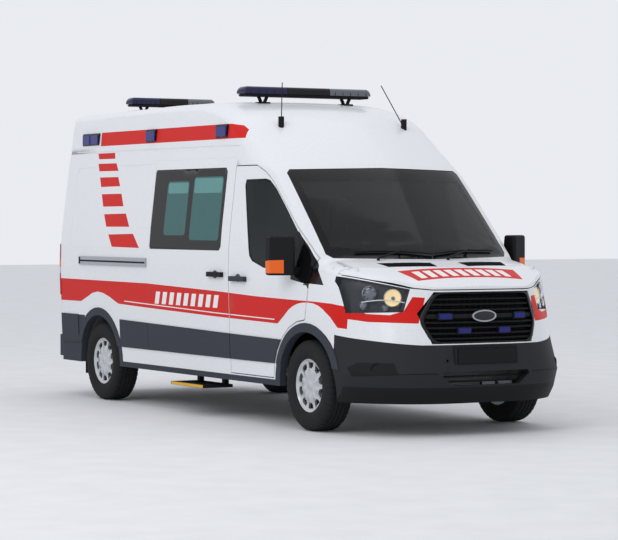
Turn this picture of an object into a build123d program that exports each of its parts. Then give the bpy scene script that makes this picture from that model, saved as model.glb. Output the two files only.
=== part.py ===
from build123d import *
import math
import os

# Van ambulance: high-roof panel van, 3750 mm wheelbase, two rear wings, one sliding side door.
# Frame: +X forward, +Y left, +Z up, origin on the ground under the middle of the overall box.

# Overall sizes
wheelbase = 3750.0
front_overhang = 1023.0
rear_overhang = 1080.0
half_belt = 1022.0
roof_top = 2632.0
floor_top = 560.0
sill_bottom = 325.0

# Wheels
tyre_radius = 352.0
tyre_width = 226.0
rim_radius = 214.0
rim_width = 190.0
track_half = 873.0
arch_radius = 412.0
kingpin_half = 785.0

# Walls and gaps
wall = 60.0
roof_wall = 52.0
bonnet_thick = 26.0
glass_thick = 10.0
door_gap = 8.0
seam = 0.4

# Doors, as distances from the front axle and heights above the ground
b_seam = 1220.0
slide_seam = 2730.0
door_bottom = 385.0
door_top = 2066.0
slide_top = 2135.0
rear_door_half = 836.0
rear_door_bottom = 570.0
rear_door_top = 2205.0
gutter = 2230.0

# Fittings
bar_top = 2745.0
bar_thick = 82.0
rear_bar_rise = 18.0
mirror_out = 1196.0
front_bar_half = 612.0
rear_bar_half = 436.0
aerial_top = 2757.0
bumper_reach = front_overhang

# Towing eye
towing_y = 345.0
towing_z = 575.0
towing_r = 11.0
towing_front = 1003.0
towing_length = 90.0

# Hinges, from the front axle and the rear face
front_hinge_x = -84.0
front_hinge_y = 968.0
front_hinge_z = (955.0, 1120.0)
hinge_pin_r = 7.0
rear_hinge_y = 840.0
rear_hinge_z = (800.0, 1330.0, 1930.0)
rear_hinge_out = 16.0
bonnet_hinge_x = 240.0
bonnet_hinge_z = 1258.0
hinge_slot = 792.0

# Cab and underbody
floor_thick = 80.0
rail_inner = 380.0
rail_low = 400.0
pin_low = 248.0
pin_high = 440.0
spindle_end = 925.0
seat_y = 420.0
wheel_x = -440.0
wheel_y = 420.0
wheel_z = 1152.0
column_tilt = 42.0
moulding_low = 500.0
ring_radius = 480.0

length = wheelbase + front_overhang + rear_overhang
front_axle = length / 2 - front_overhang
rear_axle = front_axle - wheelbase
tail = -length / 2
rear_hinge_x = front_axle - 4655.0 + 3750.0 - wheelbase + 1080.0 - rear_overhang - rear_hinge_out
belt_scale = half_belt / 1022.0
roof_shift = roof_top - 2632.0
load_half = 998.0 * belt_scale - wall - seam
cab_half = load_half - 20.0
rear_shift = 3750.0 - wheelbase + 1080.0 - rear_overhang
wing_lead = -8.0

# Roof and bonnet line on the centre plane: distance ahead of the front axle, height
profile = [
    (-5200, 2560), (-4700, 2600), (-4500, 2610), (-4200, 2618), (-3400, 2628), (-2400, 2632),
    (-1900, 2626), (-1680, 2604), (-1450, 2562), (-1260, 2505), (-1100, 2432), (-950, 2345),
    (-800, 2248), (-700, 2178), (-620, 2122), (-500, 2033), (-330, 1880), (-160, 1720),
    (0, 1569), (160, 1414), (260, 1326), (350, 1311), (450, 1292), (540, 1272),
    (640, 1243), (790, 1195), (950, 1136), (1100, 1105), (1400, 1060),
]

# Fall of the bonnet and windscreen from the centre plane towards the sides
front_crown = [
    (0, 0), (600, 0), (750, 3), (800, 7), (850, 20), (890, 40), (930, 70), (980, 130), (1100, 400),
]

# Fall of the roof from the centre plane towards the sides
crown = [
    (0, 0), (200, 1), (400, 3), (550, 6), (650, 10), (730, 17), (800, 30), (850, 50),
    (890, 86), (930, 150), (980, 250), (1100, 520),
]

# Plan outline by height: nose reach at y = 0, 400, 600, outer - 120, outer; outer; half width at
# 150 ahead of the axle, 300, 700 and 1100 behind it; rear face
levels = [
    (200, 948, 925, 838, 650, 440, 920, 966, 984, 987, 988, -4655),
    (330, 1000, 985, 915, 745, 560, 920, 978, 991, 994, 995, -4655),
    (470, 1021, 1009, 950, 790, 625, 920, 985, 994, 997, 998, -4655),
    (700, 990, 968, 888, 705, 520, 920, 988, 1001, 1005, 1008, -4655),
    (930, 985, 938, 820, 630, 480, 920, 986, 1008, 1014, 1017, -4655),
    (1120, 968, 950, 790, 600, 420, 920, 968, 1005, 1016, 1022, -4655),
    (1250, 945, 920, 760, 570, 385, 895, 930, 984, 1008, 1022, -4654),
    (1400, 930, 895, 735, 600, 400, 850, 888, 955, 995, 1018, -4652),
    (1560, 920, 880, 720, 600, 400, 820, 862, 920, 965, 1004, -4650),
    (1730, 915, 870, 710, 600, 400, 800, 840, 888, 935, 984, -4647),
    (1900, 905, 860, 700, 600, 400, 780, 818, 858, 903, 964, -4643),
    (2060, 900, 850, 700, 600, 400, 760, 798, 832, 875, 945, -4640),
    (2230, 895, 840, 690, 600, 400, 750, 785, 818, 862, 924, -4630),
    (2450, 890, 830, 680, 590, 390, 730, 765, 795, 840, 900, -4610),
    (2700, 880, 820, 670, 580, 380, 700, 730, 760, 805, 868, -4580),
]


def fx(distance):
    """X of a point given by its distance ahead of the front axle."""
    return front_axle + distance


def rx(distance):
    """X of a point behind the cab, which moves with the wheelbase and the tail."""
    return front_axle + distance + rear_shift


def smooth(table, x):
    """Value of a rising table at x, as a monotone cubic."""
    last = len(table) - 1
    if x <= table[0][0]:
        return table[0][1]
    if x >= table[last][0]:
        return table[last][1]
    k = max(i for i in range(last) if table[i][0] <= x)
    slopes = [(table[i + 1][1] - table[i][1]) / (table[i + 1][0] - table[i][0]) for i in range(last)]

    def tangent(i):
        if i == 0:
            return slopes[0]
        if i == last:
            return slopes[-1]
        before, after = slopes[i - 1], slopes[i]
        if before * after <= 0:
            return 0.0
        return 2 * before * after / (before + after)

    h = table[k + 1][0] - table[k][0]
    t = (x - table[k][0]) / h
    a = (2 * t ** 3 - 3 * t ** 2 + 1) * table[k][1] + (t ** 3 - 2 * t ** 2 + t) * h * tangent(k)
    b = (3 * t ** 2 - 2 * t ** 3) * table[k + 1][1] + (t ** 3 - t ** 2) * h * tangent(k + 1)
    return a + b


def box(x0, x1, y0, y1, z0, z1):
    """Box between two corners."""
    size = (abs(x1 - x0), abs(y1 - y0), abs(z1 - z0))
    return Pos((x0 + x1) / 2, (y0 + y1) / 2, (z0 + z1) / 2) * Box(*size)


def side_prism(points, y0, y1):
    """Outline in the X-Z plane carried from y0 to y1."""
    face = make_face(Polyline(*[(x, y0, z) for x, z in points], close=True))
    return extrude(face, amount=y1 - y0, dir=(0, 1, 0))


def plan_prism(points, z0, z1):
    """Outline in the X-Y plane carried from z0 to z1."""
    face = make_face(Polyline(*[(x, y, z0) for x, y in points], close=True))
    return extrude(face, amount=z1 - z0, dir=(0, 0, 1))


def tube_y(x, y0, y1, z, radius):
    """Round bar along Y."""
    return Pos(x, (y0 + y1) / 2, z) * Rot(90, 0, 0) * Cylinder(radius, abs(y1 - y0))


def tube_x(x0, x1, y, z, radius):
    """Round bar along X."""
    return Pos((x0 + x1) / 2, y, z) * Rot(0, 90, 0) * Cylinder(radius, abs(x1 - x0))


def tube_z(x, y, z0, z1, radius):
    """Round bar along Z."""
    return Pos(x, y, (z0 + z1) / 2) * Cylinder(radius, abs(z1 - z0))


def solids_of(shape):
    """All solids of a shape or a list of shapes."""
    if isinstance(shape, (list, tuple)):
        return [s for part in shape for s in solids_of(part)]
    return list(shape.solids())


def biggest(shape):
    """Largest solid of a cut result."""
    return max(shape.solids(), key=lambda s: s.volume)


def save(name, shape):
    """Write one node, dropping crumbs a cut may leave."""
    kept = [s for s in solids_of(shape) if s.volume > 500]
    export_step(kept[0] if len(kept) == 1 else Compound(kept), "parts/" + name + ".step")


# Body shell

def plan_outline(row, inset):
    """Plan outline of the body at one height, pulled in by the inset."""
    z, n0, n1, n2, n3, n4, outer, s1, s2, s3, half, rear = row
    half = half * belt_scale
    nose = [
        (n0 - inset, 0),
        (n1 - inset, 400 * belt_scale - 0.1 * inset),
        (n2 - 0.9 * inset, 600 * belt_scale - 0.35 * inset),
        (n3 - 0.8 * inset, (outer - 120) * belt_scale - 0.55 * inset),
        (n4 - 0.7 * inset, outer * belt_scale - 0.7 * inset),
        (150 - 0.2 * inset, s1 * belt_scale - inset),
        (-300, s2 * belt_scale - inset),
        (-700, s3 * belt_scale - inset),
        (-1100, half - inset),
    ]
    right = [Vector(fx(x), -y, z) for x, y in reversed(nose)]
    left = [Vector(fx(x), y, z) for x, y in nose[1:]]
    front = Spline(*(right + left), tangents=[(1, 0, 0), (-1, 0, 0)])
    r = 110 - 0.8 * inset
    q = r * (1 - math.sqrt(0.5))
    xr = rx(rear) + inset
    h = half - inset
    corners = [
        Line((fx(-1100), h, z), (xr + r, h, z)),
        ThreePointArc((xr + r, h, z), (xr + q, h - q, z), (xr, h - r, z)),
        Line((xr, h - r, z), (xr, r - h, z)),
        ThreePointArc((xr, r - h, z), (xr + q, q - h, z), (xr + r, -h, z)),
        Line((xr + r, -h, z), (fx(-1100), -h, z)),
    ]
    return Wire([front] + corners)


def sides_solid(inset):
    """Body volume bounded by its sides, nose and rear face."""
    rows = [row if row[0] < 2100 else (row[0] + roof_shift,) + row[1:] for row in levels]
    return Solid.make_loft([plan_outline(row, inset) for row in rows], True)


def lid_height(x, y):
    """Height of the bonnet, windscreen and roof surface."""
    ease = max(0.0, min(1.0, (x + 2400) / 1400))
    bow = 0.24 * y * y / 1000 * ease
    roof_part = max(0.0, min(1.0, (-500 - x) / 700))
    roof_part = roof_part * roof_part * (3 - 2 * roof_part)
    fall = smooth(front_crown, abs(y)) * (1 - roof_part) + smooth(crown, abs(y)) * roof_part
    lift = roof_shift * max(0.0, min(1.0, (300 - x) / 1500))
    return smooth(profile, x + bow) - fall + lift


def lid_solid(drop):
    """Everything under the bonnet, windscreen and roof surface, lowered by the drop."""
    xs = [1300, 1200, 1100, 1000, 900, 800, 700, 600, 500, 400, 330, 270, 210, 150, 100, 50]
    xs += [0 - 50 * i for i in range(13)]
    xs += [-660, -720, -800, -900, -1000, -1100, -1200, -1300, -1400, -1600, -1800, -2100]
    xs += [-2500, -3000, -3500, -4000, -4300, -4600, -4900, -5200]
    half_ys = [100, 200, 300, 400, 500, 600, 700, 770, 830, 880, 930, 980, 1040, 1100]
    ys = [-y for y in reversed(half_ys)] + [0] + half_ys
    stretch = 1.0 - rear_shift / 5200.0
    rows = []
    for x in xs:
        place = fx(x) if x > 0 else fx(x * stretch)
        rows.append([Vector(place, y * belt_scale, lid_height(x, y) - drop) for y in ys])
    face = Face.make_surface_from_array_of_points(rows, tol=2.0, min_deg=3, max_deg=3)
    return Solid.extrude(face, (0, 0, -2700))


def shell_solid():
    """Hollow body: outer volume less the inner one, with the wheel arches and the lower edge cut."""
    outer = sides_solid(0) & lid_solid(0)
    inner = sides_solid(wall) & lid_solid(roof_wall)
    shell = outer - inner
    shell -= box(-4000, fx(0), -1100, 1100, 0, sill_bottom)
    shell -= box(fx(0), 4000, -1100, 1100, 0, 250)
    for x in (front_axle, rear_axle):
        shell -= tube_y(x, -1100, 1100, tyre_radius, arch_radius)
    return shell


# Outlines, as distances ahead of the front axle and heights

def door_outline(grow):
    """Front door outline in side view, grown or shrunk evenly."""
    arch = 505.0
    arch_foot = math.sqrt(arch ** 2 - (door_bottom - tyre_radius) ** 2)
    low = [(-b_seam, door_bottom), (-arch_foot, door_bottom)]
    ring = []
    for angle in (165, 150, 135, 120, 105, 92):
        turn = math.radians(angle)
        ring.append((arch * math.cos(turn), tyre_radius + arch * math.sin(turn)))
    lead = [(wing_lead, 870), (20, 1150), (22, 1330), (-140, 1470), (-385, 1675), (-630, 1880)]
    top = [(-715, 1955), (-800, 2015), (-910, door_top), (-b_seam, door_top)]
    return grown(low + ring + lead + top, grow)


def grown(points, amount):
    """Side-view outline moved outward by an amount, placed on the body."""
    wire = Polyline(*[(fx(x), 0, z) for x, z in points], close=True)
    face = make_face(wire)
    if amount == 0:
        return face
    flat = Plane.XZ.to_local_coords(face)
    bigger = offset(flat, amount, kind=Kind.INTERSECTION)
    return Plane.XZ.from_local_coords(bigger)


def side_cut(face, side):
    """Carry a side-view outline through one side wall; side is -1 for right and 1 for left."""
    inner = 700.0 if side > 0 else -1100.0
    placed = Pos(0, inner, 0) * face
    return extrude(placed, amount=400, dir=(0, 1, 0))


def slide_outline(grow):
    """Sliding door outline in side view."""
    low = [(-slide_seam, door_bottom), (-b_seam, door_bottom)]
    points = low + [(-b_seam, slide_top), (-slide_seam, slide_top)]
    return grown(points, grow)


def front_window(grow):
    """Front door window outline in side view."""
    points = [
        (-1025, 1940), (-1030, 1900), (-870, 1345), (-830, 1310), (-660, 1262), (-225, 1205),
        (-225, 1490), (-420, 1668), (-640, 1858), (-735, 1930), (-780, 1945),
    ]
    return grown(points, grow)


def side_window(grow):
    """Rear side window outline in side view."""
    left = -slide_seam + 35
    points = [(left, 1375), (-1395, 1375), (-1365, 1405), (-1365, 2025), (-1395, 2055), (left, 2055)]
    return grown(points, grow)


def face_prism(points, x0, x1, grow):
    """Outline in the Y-Z plane, grown evenly and carried from x0 to x1."""
    face = make_face(Polyline(*[(y, z) for y, z in points], close=True))
    if grow != 0:
        face = offset(face, grow, kind=Kind.INTERSECTION)
    placed = Plane(origin=(x0, 0, 0), x_dir=(0, 1, 0), z_dir=(1, 0, 0)) * face
    return extrude(placed, amount=x1 - x0, dir=(1, 0, 0))


def both(points):
    """Symmetric outline from its left half, listed from the lower centre round to the upper centre."""
    return points + [(-y, z) for y, z in reversed(points) if y > 0]


grille_points = both([(450, 700), (532, 925), (425, 1088)])
lamp_points = [(565, 1108), (935, 1204), (920, 925), (612, 938)]
screen_points = both([(0, 1320), (795, 1332), (832, 1362), (806, 2000), (775, 2030), (0, 2046)])
rear_window_points = [(135, 1420), (700, 1420), (712, 1432), (690, 1985), (678, 1997), (135, 1997)]


def bonnet_zone(grow):
    """Space the bonnet takes: above its front and side edge, ahead of the scuttle line."""
    edge = both([(0, 1104), (430, 1104), (568, 1118), (900, 1209), (900, 1500), (0, 1500)])
    block = face_prism(edge, fx(200), fx(1100), grow)
    right = [(360, -850), (478, -575), (552, -120)]
    rear = [(560, 0), (552, 120), (478, 575), (360, 850), (330, 920), (330, 1200), (1200, 1200)]
    rear = rear + [(1200, -1200), (330, -1200), (330, -920)] + right
    plan = make_face(Polyline(*[(fx(x), y) for x, y in rear], close=True))
    if grow != 0:
        plan = offset(plan, grow, kind=Kind.INTERSECTION)
    return block & extrude(Pos(0, 0, 1000) * plan, amount=600, dir=(0, 0, 1))


def scuttle_zone(grow):
    """Strip between the bonnet and the windscreen."""
    half = 815.0 + grow
    plan = [(fx(600), -half), (fx(600), half), (fx(90) - grow, half), (fx(90) - grow, -half)]
    return plan_prism(plan, 1180, 1365 + grow)


def rear_door_zone(side, grow):
    """Outline of one rear door leaf."""
    low, high = rear_door_bottom - grow, rear_door_top + grow
    inner, outer = 0.0 - grow, rear_door_half + grow
    if side > 0:
        return box(rx(-4800), rx(-4560), inner, outer, low, high)
    return box(rx(-4800), rx(-4560), -outer, -inner, low, high)


# Body panels

def skin_layer(outer_inset, inner_inset):
    """Thin layer that follows the sides of the body."""
    return sides_solid(outer_inset) - sides_solid(inner_inset)


def split_off(rest, zone_in, zone_out):
    """Take one panel from the shell and leave the gap around it."""
    return rest & zone_in, rest - zone_out


def window_cut(outline, side, grow):
    """Window opening through one side wall."""
    return side_cut(outline(grow), side)


def front_panels(rest, panels):
    """Bumper, grille, lamps, bonnet, scuttle and windscreen."""
    low = [(380, 200), (1100, 200), (1100, 692), (930, 692), (400, 757), (380, 757)]
    for name, amount in (("in", -seam / 2), ("out", seam / 2)):
        zone = side_cut_full(grown(low, amount))
        if name == "in":
            bumper = rest & zone
        else:
            rest = rest - zone
    intake = face_prism(both([(298, 385), (396, 467), (380, 492)]), fx(900), fx(1100), 0)
    carrier = box(fx(975), fx(bumper_reach - 4.3), -270, 270, 548, 672)
    bumper = biggest((bumper - intake) + carrier)
    boss_back = fx(towing_front - towing_length)
    bumper = bumper + tube_x(boss_back, fx(towing_front), -towing_y, towing_z, towing_r + 9)
    bumper = bumper - tube_x(fx(800), fx(1100), -towing_y, towing_z, towing_r)
    panels["front_bumper"] = biggest(bumper)

    grille, rest = split_off(
        rest,
        face_prism(grille_points, fx(800), fx(1100), -seam / 2),
        face_prism(grille_points, fx(800), fx(1100), seam / 2),
    )
    for z in (748, 826, 904, 982, 1048):
        half = 395 if z > 1000 or z < 780 else 445
        grille = grille - box(fx(800), fx(1100), -half, half, z - 18, z + 18)
    panels["grille"] = grille

    bonnet, rest = split_off(rest, bonnet_zone(-door_gap / 2), bonnet_zone(door_gap / 2))
    under = lid_solid(bonnet_thick)
    panels["hood"] = biggest(bonnet - (under & box(fx(0), fx(900), -1000, 1000, 900, 1500)))

    lamps = []
    for side in (-1, 1):
        points = [(side * y, z) for y, z in lamp_points]
        lamp, rest = split_off(
            rest,
            face_prism(points, fx(340), fx(1100), -seam / 2),
            face_prism(points, fx(340), fx(1100), seam / 2),
        )
        lamps.append(biggest(lamp))
    panels["headlamps"] = lamps

    opening = face_prism(screen_points, fx(-1000), fx(420), 0)
    screen = face_prism(screen_points, fx(-1000), fx(420), -seam)
    rest = rest - opening
    panels["windscreen"] = biggest((lid_solid(4) - lid_solid(4 + 1.4 * glass_thick)) & screen)

    scuttle, rest = split_off(rest, scuttle_zone(-seam / 2), scuttle_zone(seam / 2))
    scuttle = scuttle - under
    for side in (-1, 1):
        scuttle -= box(fx(140), fx(700), side * hinge_slot, side * 960, 1000, 1600)
    panels["cowl"] = biggest(scuttle)
    return rest


def side_cut_full(face):
    """Carry a side-view outline right across the body."""
    return extrude(Pos(0, -1200, 0) * face, amount=2400, dir=(0, 1, 0))


def side_panels(rest, panels, glass):
    """Front doors, sliding door, fixed sides, roof and wings."""
    panes = []
    for side, name in ((-1, "right"), (1, "left")):
        door = rest & side_cut(door_outline(-door_gap / 2), side)
        rest = rest - side_cut(door_outline(door_gap / 2), side)
        door = biggest(door) - window_cut(front_window, side, 0)
        panels["front_door_" + name] = door
        panels["front_door_glass_" + name] = biggest(glass & window_cut(front_window, side, -seam))
    slide = rest & side_cut(slide_outline(-seam / 2), -1)
    rest = rest - side_cut(slide_outline(seam / 2), -1)
    panels["sliding_door"] = biggest(slide) - window_cut(side_window, -1, 0)
    for side in (-1, 1):
        rest = rest - window_cut(side_window, side, 0)
        panes.append(biggest(glass & window_cut(side_window, side, -seam)))
    panels["side_windows"] = panes

    for side, name in ((-1, "right"), (1, "left")):
        leaf = biggest(rest & rear_door_zone(side, -door_gap / 2))
        pane = face_prism([(side * y, z) for y, z in rear_window_points], rx(-4800), rx(-4500), 0)
        inner = face_prism([(side * y, z) for y, z in rear_window_points], rx(-4800), rx(-4500), -seam)
        panels["rear_door_" + name] = leaf - pane
        panels["rear_door_glass_" + name] = biggest(glass & inner)
    rest = rest - box(rx(-4800), rx(-4560), -rear_door_half - 4, rear_door_half + 4,
                      rear_door_bottom - 4, rear_door_top + 4)

    cab = box(fx(-b_seam), fx(1200), -1200, 1200, 1362, 2800)
    high = box(-4000, fx(-b_seam), -1200, 1200, gutter, 2800) + cab
    panels["roof"] = rest & high
    lower = rest - box(-4000, fx(-b_seam), -1200, 1200, gutter - seam, 2800)
    lower = lower - box(fx(-b_seam) - seam, fx(1200), -1200, 1200, 1362 - seam, 2800)
    panels["front_wings"] = lower & box(fx(-b_seam) + seam, 4000, -1200, 1200, 0, 1400)
    for side, name in ((-1, "right"), (1, "left")):
        edge = (-1200, -seam / 2) if side < 0 else (seam / 2, 1200)
        panels["body_side_" + name] = lower & box(-4000, fx(-b_seam), edge[0], edge[1], 0, gutter)
    return rest


def build_panels():
    """All panels of the body shell."""
    panels = {}
    rest = front_panels(shell_solid(), panels)
    glass = skin_layer(3, 3 + glass_thick)
    side_panels(rest, panels, glass)
    return panels


# Door hinges

def front_hinges(panels):
    """Goose-neck arms on the wing, with pins in the front doors."""
    outside = front_hinge_y + 14
    for side, name in ((-1, "right"), (1, "left")):
        door = panels["front_door_" + name]
        x, y = fx(front_hinge_x), side * front_hinge_y
        for z in front_hinge_z:
            pocket = box(x - 24, fx(60), side * outside, side * 800, z - 20, z + 20)
            door = door - pocket - tube_z(x, y, z - 45, z + 45, hinge_pin_r + 0.3)
            arm = box(x - 11, x + 11, y, side * (front_hinge_y - 112), z - 14, z + 14)
            deep = side * (front_hinge_y - 112)
            arm += box(x - 11, fx(62), deep, side * (front_hinge_y - 90), z - 14, z + 14)
            arm += box(fx(36), fx(62), deep, side * (front_hinge_y - 15), z - 14, z + 14)
            arm += tube_z(x, y, z - 14, z + 14, 11)
            arm += tube_z(x, y, z - 42, z + 42, hinge_pin_r)
            panels["front_wings"] = biggest(panels["front_wings"] + arm)
        panels["front_door_" + name] = biggest(door)


def rear_hinges(panels):
    """Outside hinges of the rear doors, pins on the corner posts."""
    for side, name in ((-1, "right"), (1, "left")):
        x, y = rear_hinge_x, side * rear_hinge_y
        for z in rear_hinge_z:
            knuckle = tube_z(x, y, z - 24, z + 24, 11)
            foot = box(x, rear_hinge_x + 30, y, side * (rear_hinge_y + 52), z - 24, z + 24)
            foot = foot - box(x - 20, x + 9, side * (rear_hinge_y + 11), side * 990, z - 30, z + 30)
            near, far = side * (rear_hinge_y + 5), side * (rear_hinge_y + 52)
            foot += box(x + 8, x + 30, near, far, z - 24, z + 24)
            bracket = knuckle + foot + tube_z(x, y, z - 46, z + 46, 5)
            panels["body_side_" + name] = biggest(panels["body_side_" + name] + bracket)
            for low, high in ((z - 48, z - 25), (z + 25, z + 48)):
                strap = tube_z(x, y, low, high, 11)
                strap += box(x - 3, x + 30, y, side * (rear_hinge_y - 52), low, high)
                strap = strap - tube_z(x, y, low - 1, high + 1, 5.3)
                panels["rear_door_" + name] = biggest(panels["rear_door_" + name] + strap)


def bonnet_hinges(panels):
    """Ears under the bonnet on pins that stand in from the wings."""
    for side in (-1, 1):
        ear = tube_y(fx(bonnet_hinge_x), side * 803, side * 811, bonnet_hinge_z, 15)
        low, high = bonnet_hinge_z - 34, bonnet_hinge_z - 2
        ear += box(fx(bonnet_hinge_x), fx(470), side * 803, side * 811, low, high)
        ear += box(fx(415), fx(470), side * 803, side * 811, bonnet_hinge_z - 14, bonnet_hinge_z + 8)
        ear = ear - tube_y(fx(bonnet_hinge_x), side * 790, side * 812, bonnet_hinge_z, 8.3)
        panels["hood"] = biggest(panels["hood"] + ear)
        pin = tube_y(fx(bonnet_hinge_x), side * 797, side * 905, bonnet_hinge_z, 8)
        panels["front_wings"] = biggest(panels["front_wings"] + pin)


# Cabin, floor and drive

def floor_piece():
    """Load floor, cab floor, firewall, chassis rails and wheel boxes."""
    rear_wall = rx(-4655) + wall
    load = box(rear_wall + seam, fx(-b_seam), -load_half, load_half, floor_top - floor_thick, floor_top)
    cab = box(fx(-b_seam), fx(100), -cab_half, cab_half, floor_top - floor_thick, floor_top)
    firewall = box(fx(100), fx(150), -cab_half + 60, cab_half - 60, floor_top - floor_thick, 1175)
    floor = load + cab + firewall
    for side in (-1, 1):
        near, far = side * rail_inner, side * (rail_inner + 80)
        floor += box(rear_wall + seam, fx(860), near, far, rail_low, floor_top - floor_thick)
        arch = tube_y(front_axle, side * 535, side * 1100, tyre_radius, arch_radius + 12)
        floor = floor - arch
        drum = tube_y(rear_axle, side * 690, side * (load_half - 2), tyre_radius, arch_radius + 42)
        drum = drum & box(-4000, 0, -1000, 1000, floor_top - 5, 2000)
        floor = (floor + drum) - tube_y(rear_axle, side * 712, side * 1100, tyre_radius, arch_radius)
    return biggest(floor & sides_solid(wall + seam))


def bulkhead_piece():
    """Wall between cab and load space with a wide window."""
    inside = sides_solid(wall + seam) & lid_solid(roof_wall + 1)
    slab = inside & box(fx(-b_seam) - 50, fx(-b_seam) - 10, -1200, 1200, floor_top + 0.3, 2800)
    window = box(fx(-b_seam) - 60, fx(-b_seam), -620, -40, 1300, 1800)
    window += box(fx(-b_seam) - 60, fx(-b_seam), 40, 620, 1300, 1800)
    return biggest(slab - window)


def dashboard_piece():
    """Dashboard with the steering column."""
    points = [
        (99.7, 830), (99.7, 1210), (20, 1232), (-240, 1215), (-330, 1165), (-345, 1040),
        (-290, 930), (-120, 860), (-60, 830),
    ]
    board = side_prism([(fx(x), z) for x, z in points], -790, 790)
    lean = Location((fx(wheel_x), wheel_y, wheel_z), (0, -column_tilt, 0))
    column = lean * Pos(0, 0, -150 - 21.3) * Cylinder(32, 300)
    return biggest(board + column)


def steering_wheel_piece():
    """Steering wheel with three spokes and a boss on the column."""
    lean = Location((fx(wheel_x), wheel_y, wheel_z), (0, -column_tilt, 0))
    ring = Torus(195, 15)
    ring += Pos(0, 0, -10) * Cylinder(58, 22)
    for turn in (0, 120, 240):
        ring += Rot(0, 0, turn) * Pos(110, 0, -8) * Box(150, 26, 12)
    return lean * ring


def seat_pieces():
    """Driver and passenger seats on pedestals."""
    seats = []
    for side in (-1, 1):
        y = side * seat_y
        seat = box(fx(-1100), fx(-700), y - 215, y + 215, floor_top + 0.3, 840)
        seat += box(fx(-1140), fx(-650), y - 250, y + 250, 840, 965)
        back = [(fx(-1140), 960), (fx(-1020), 960), (fx(-1095), 1590), (fx(-1195), 1590)]
        head = [(fx(-1185), 1585), (fx(-1110), 1585), (fx(-1115), 1790), (fx(-1200), 1790)]
        seat += side_prism(back, y - 240, y + 240) + side_prism(head, y - 130, y + 130)
        seats.append(biggest(seat))
    return seats


def engine_piece():
    """Engine and gearbox as one plain block between the rails."""
    block = box(fx(170), fx(720), -rail_inner + 0.3, rail_inner - 0.3, 400, 1010)
    return block + box(fx(250), fx(650), -180, 180, 300, 400)


def suspension_piece():
    """Front cross member with upper and lower arms that carry the steering pins."""
    beam = box(fx(-70), fx(70), -520, 520, 250, rail_low - 0.3)
    for side in (-1, 1):
        pivot = side * kingpin_half
        beam += box(fx(-26), fx(26), side * 500, pivot, pin_low - 26, pin_low)
        beam += tube_z(front_axle, pivot, pin_low - 26, pin_low, 26)
        beam += box(fx(-26), fx(26), side * 480, side * 520, pin_low - 26, pin_high + 26)
        beam += box(fx(-26), fx(26), side * 500, pivot, pin_high, pin_high + 26)
        beam += tube_z(front_axle, pivot, pin_high, pin_high + 26, 26)
        beam = beam - tube_z(front_axle, pivot, pin_low - 30, pin_high + 30, 10.3)
    return beam


def knuckle_piece(side):
    """Steering knuckle with its pin and wheel spindle."""
    pivot = side * kingpin_half
    body = tube_z(front_axle, pivot, pin_low + 0.3, pin_high - 0.3, 24)
    body += tube_z(front_axle, pivot, pin_low - 26, pin_high + 26, 10)
    return body + tube_y(front_axle, pivot, side * spindle_end, tyre_radius, 25)


def tyre_piece(x, side):
    """Plain tyre ring with rounded shoulders."""
    half = tyre_width / 2
    y = side * track_half
    ring = Cylinder(tyre_radius, tyre_width) - Cylinder(rim_radius, tyre_width + 2)
    outer_edges = [e for e in ring.edges().filter_by(GeomType.CIRCLE) if e.radius > tyre_radius - 1]
    ring = fillet(outer_edges, 24)
    inner_edges = [e for e in ring.edges().filter_by(GeomType.CIRCLE) if abs(e.radius - rim_radius) < 1]
    ring = fillet(inner_edges, min(14, half / 4))
    return Pos(x, y, tyre_radius) * Rot(90, 0, 0) * ring


def rim_piece(x, side):
    """Wheel rim: barrel, dished disc with ten windows and a bored hub."""
    outer = rim_radius - 0.3
    rim = Cylinder(outer, rim_width) - Cylinder(outer - 18, rim_width + 2)
    face = rim_width / 2 - 22
    rim += Pos(0, 0, face) * Cylinder(outer - 10, 14)
    rim += Pos(0, 0, face - 40) * Cylinder(62, 80)
    for i in range(10):
        rim -= Rot(0, 0, 36 * i) * Pos(150, 0, face) * Cylinder(17, 40)
    rim -= Pos(0, 0, face - 40) * Cylinder(25.3, 80)
    turn = Rot(90, 0, 0) if side < 0 else Rot(-90, 0, 0)
    return Pos(x, side * track_half, tyre_radius) * turn * rim


def rear_axle_piece():
    """Rear beam axle on two leaf springs."""
    beam = tube_y(rear_axle, -740, 740, tyre_radius, 38)
    beam += tube_y(rear_axle, -spindle_end, spindle_end, tyre_radius, 25)
    for side in (-1, 1):
        y = side * (rail_inner + 150)
        spring = box(rear_axle - 620, rear_axle + 620, y - 35, y + 35, 398, 420)
        spring += box(rear_axle - 60, rear_axle + 60, y - 35, y + 35, 340, 400)
        hanger_top = floor_top - floor_thick - 0.3
        spring += box(rear_axle - 620, rear_axle - 580, y - 35, y + 35, 398, hanger_top)
        spring += box(rear_axle + 580, rear_axle + 620, y - 35, y + 35, 398, hanger_top)
        beam += spring
    return beam


def exhaust_piece():
    """Exhaust pipe with its silencer, hung from the floor."""
    y = -210.0
    pipe = tube_x(fx(-3100), fx(-120), y, 330, 26) + tube_x(fx(-2500), fx(-1900), y, 330, 85)
    for x in (-2900, -1700, -600):
        pipe += box(fx(x), fx(x) + 30, y - 12, y + 12, 340, floor_top - floor_thick - 0.3)
    return pipe


# Outside fittings

def mirror_piece(side, clear):
    """Door mirror: tall swept-back housing on a lower arm."""
    plan = [(-100, 1018), (-205, mirror_out), (-298, mirror_out), (-245, 1008)]
    head = plan_prism([(fx(x), side * y) for x, y in plan], 1198, 1502)
    head = fillet(head.edges(), 22)
    arm = box(fx(-205), fx(-125), side * 880, side * 1060, 1205, 1262)
    return biggest((head + arm) - clear)


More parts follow.
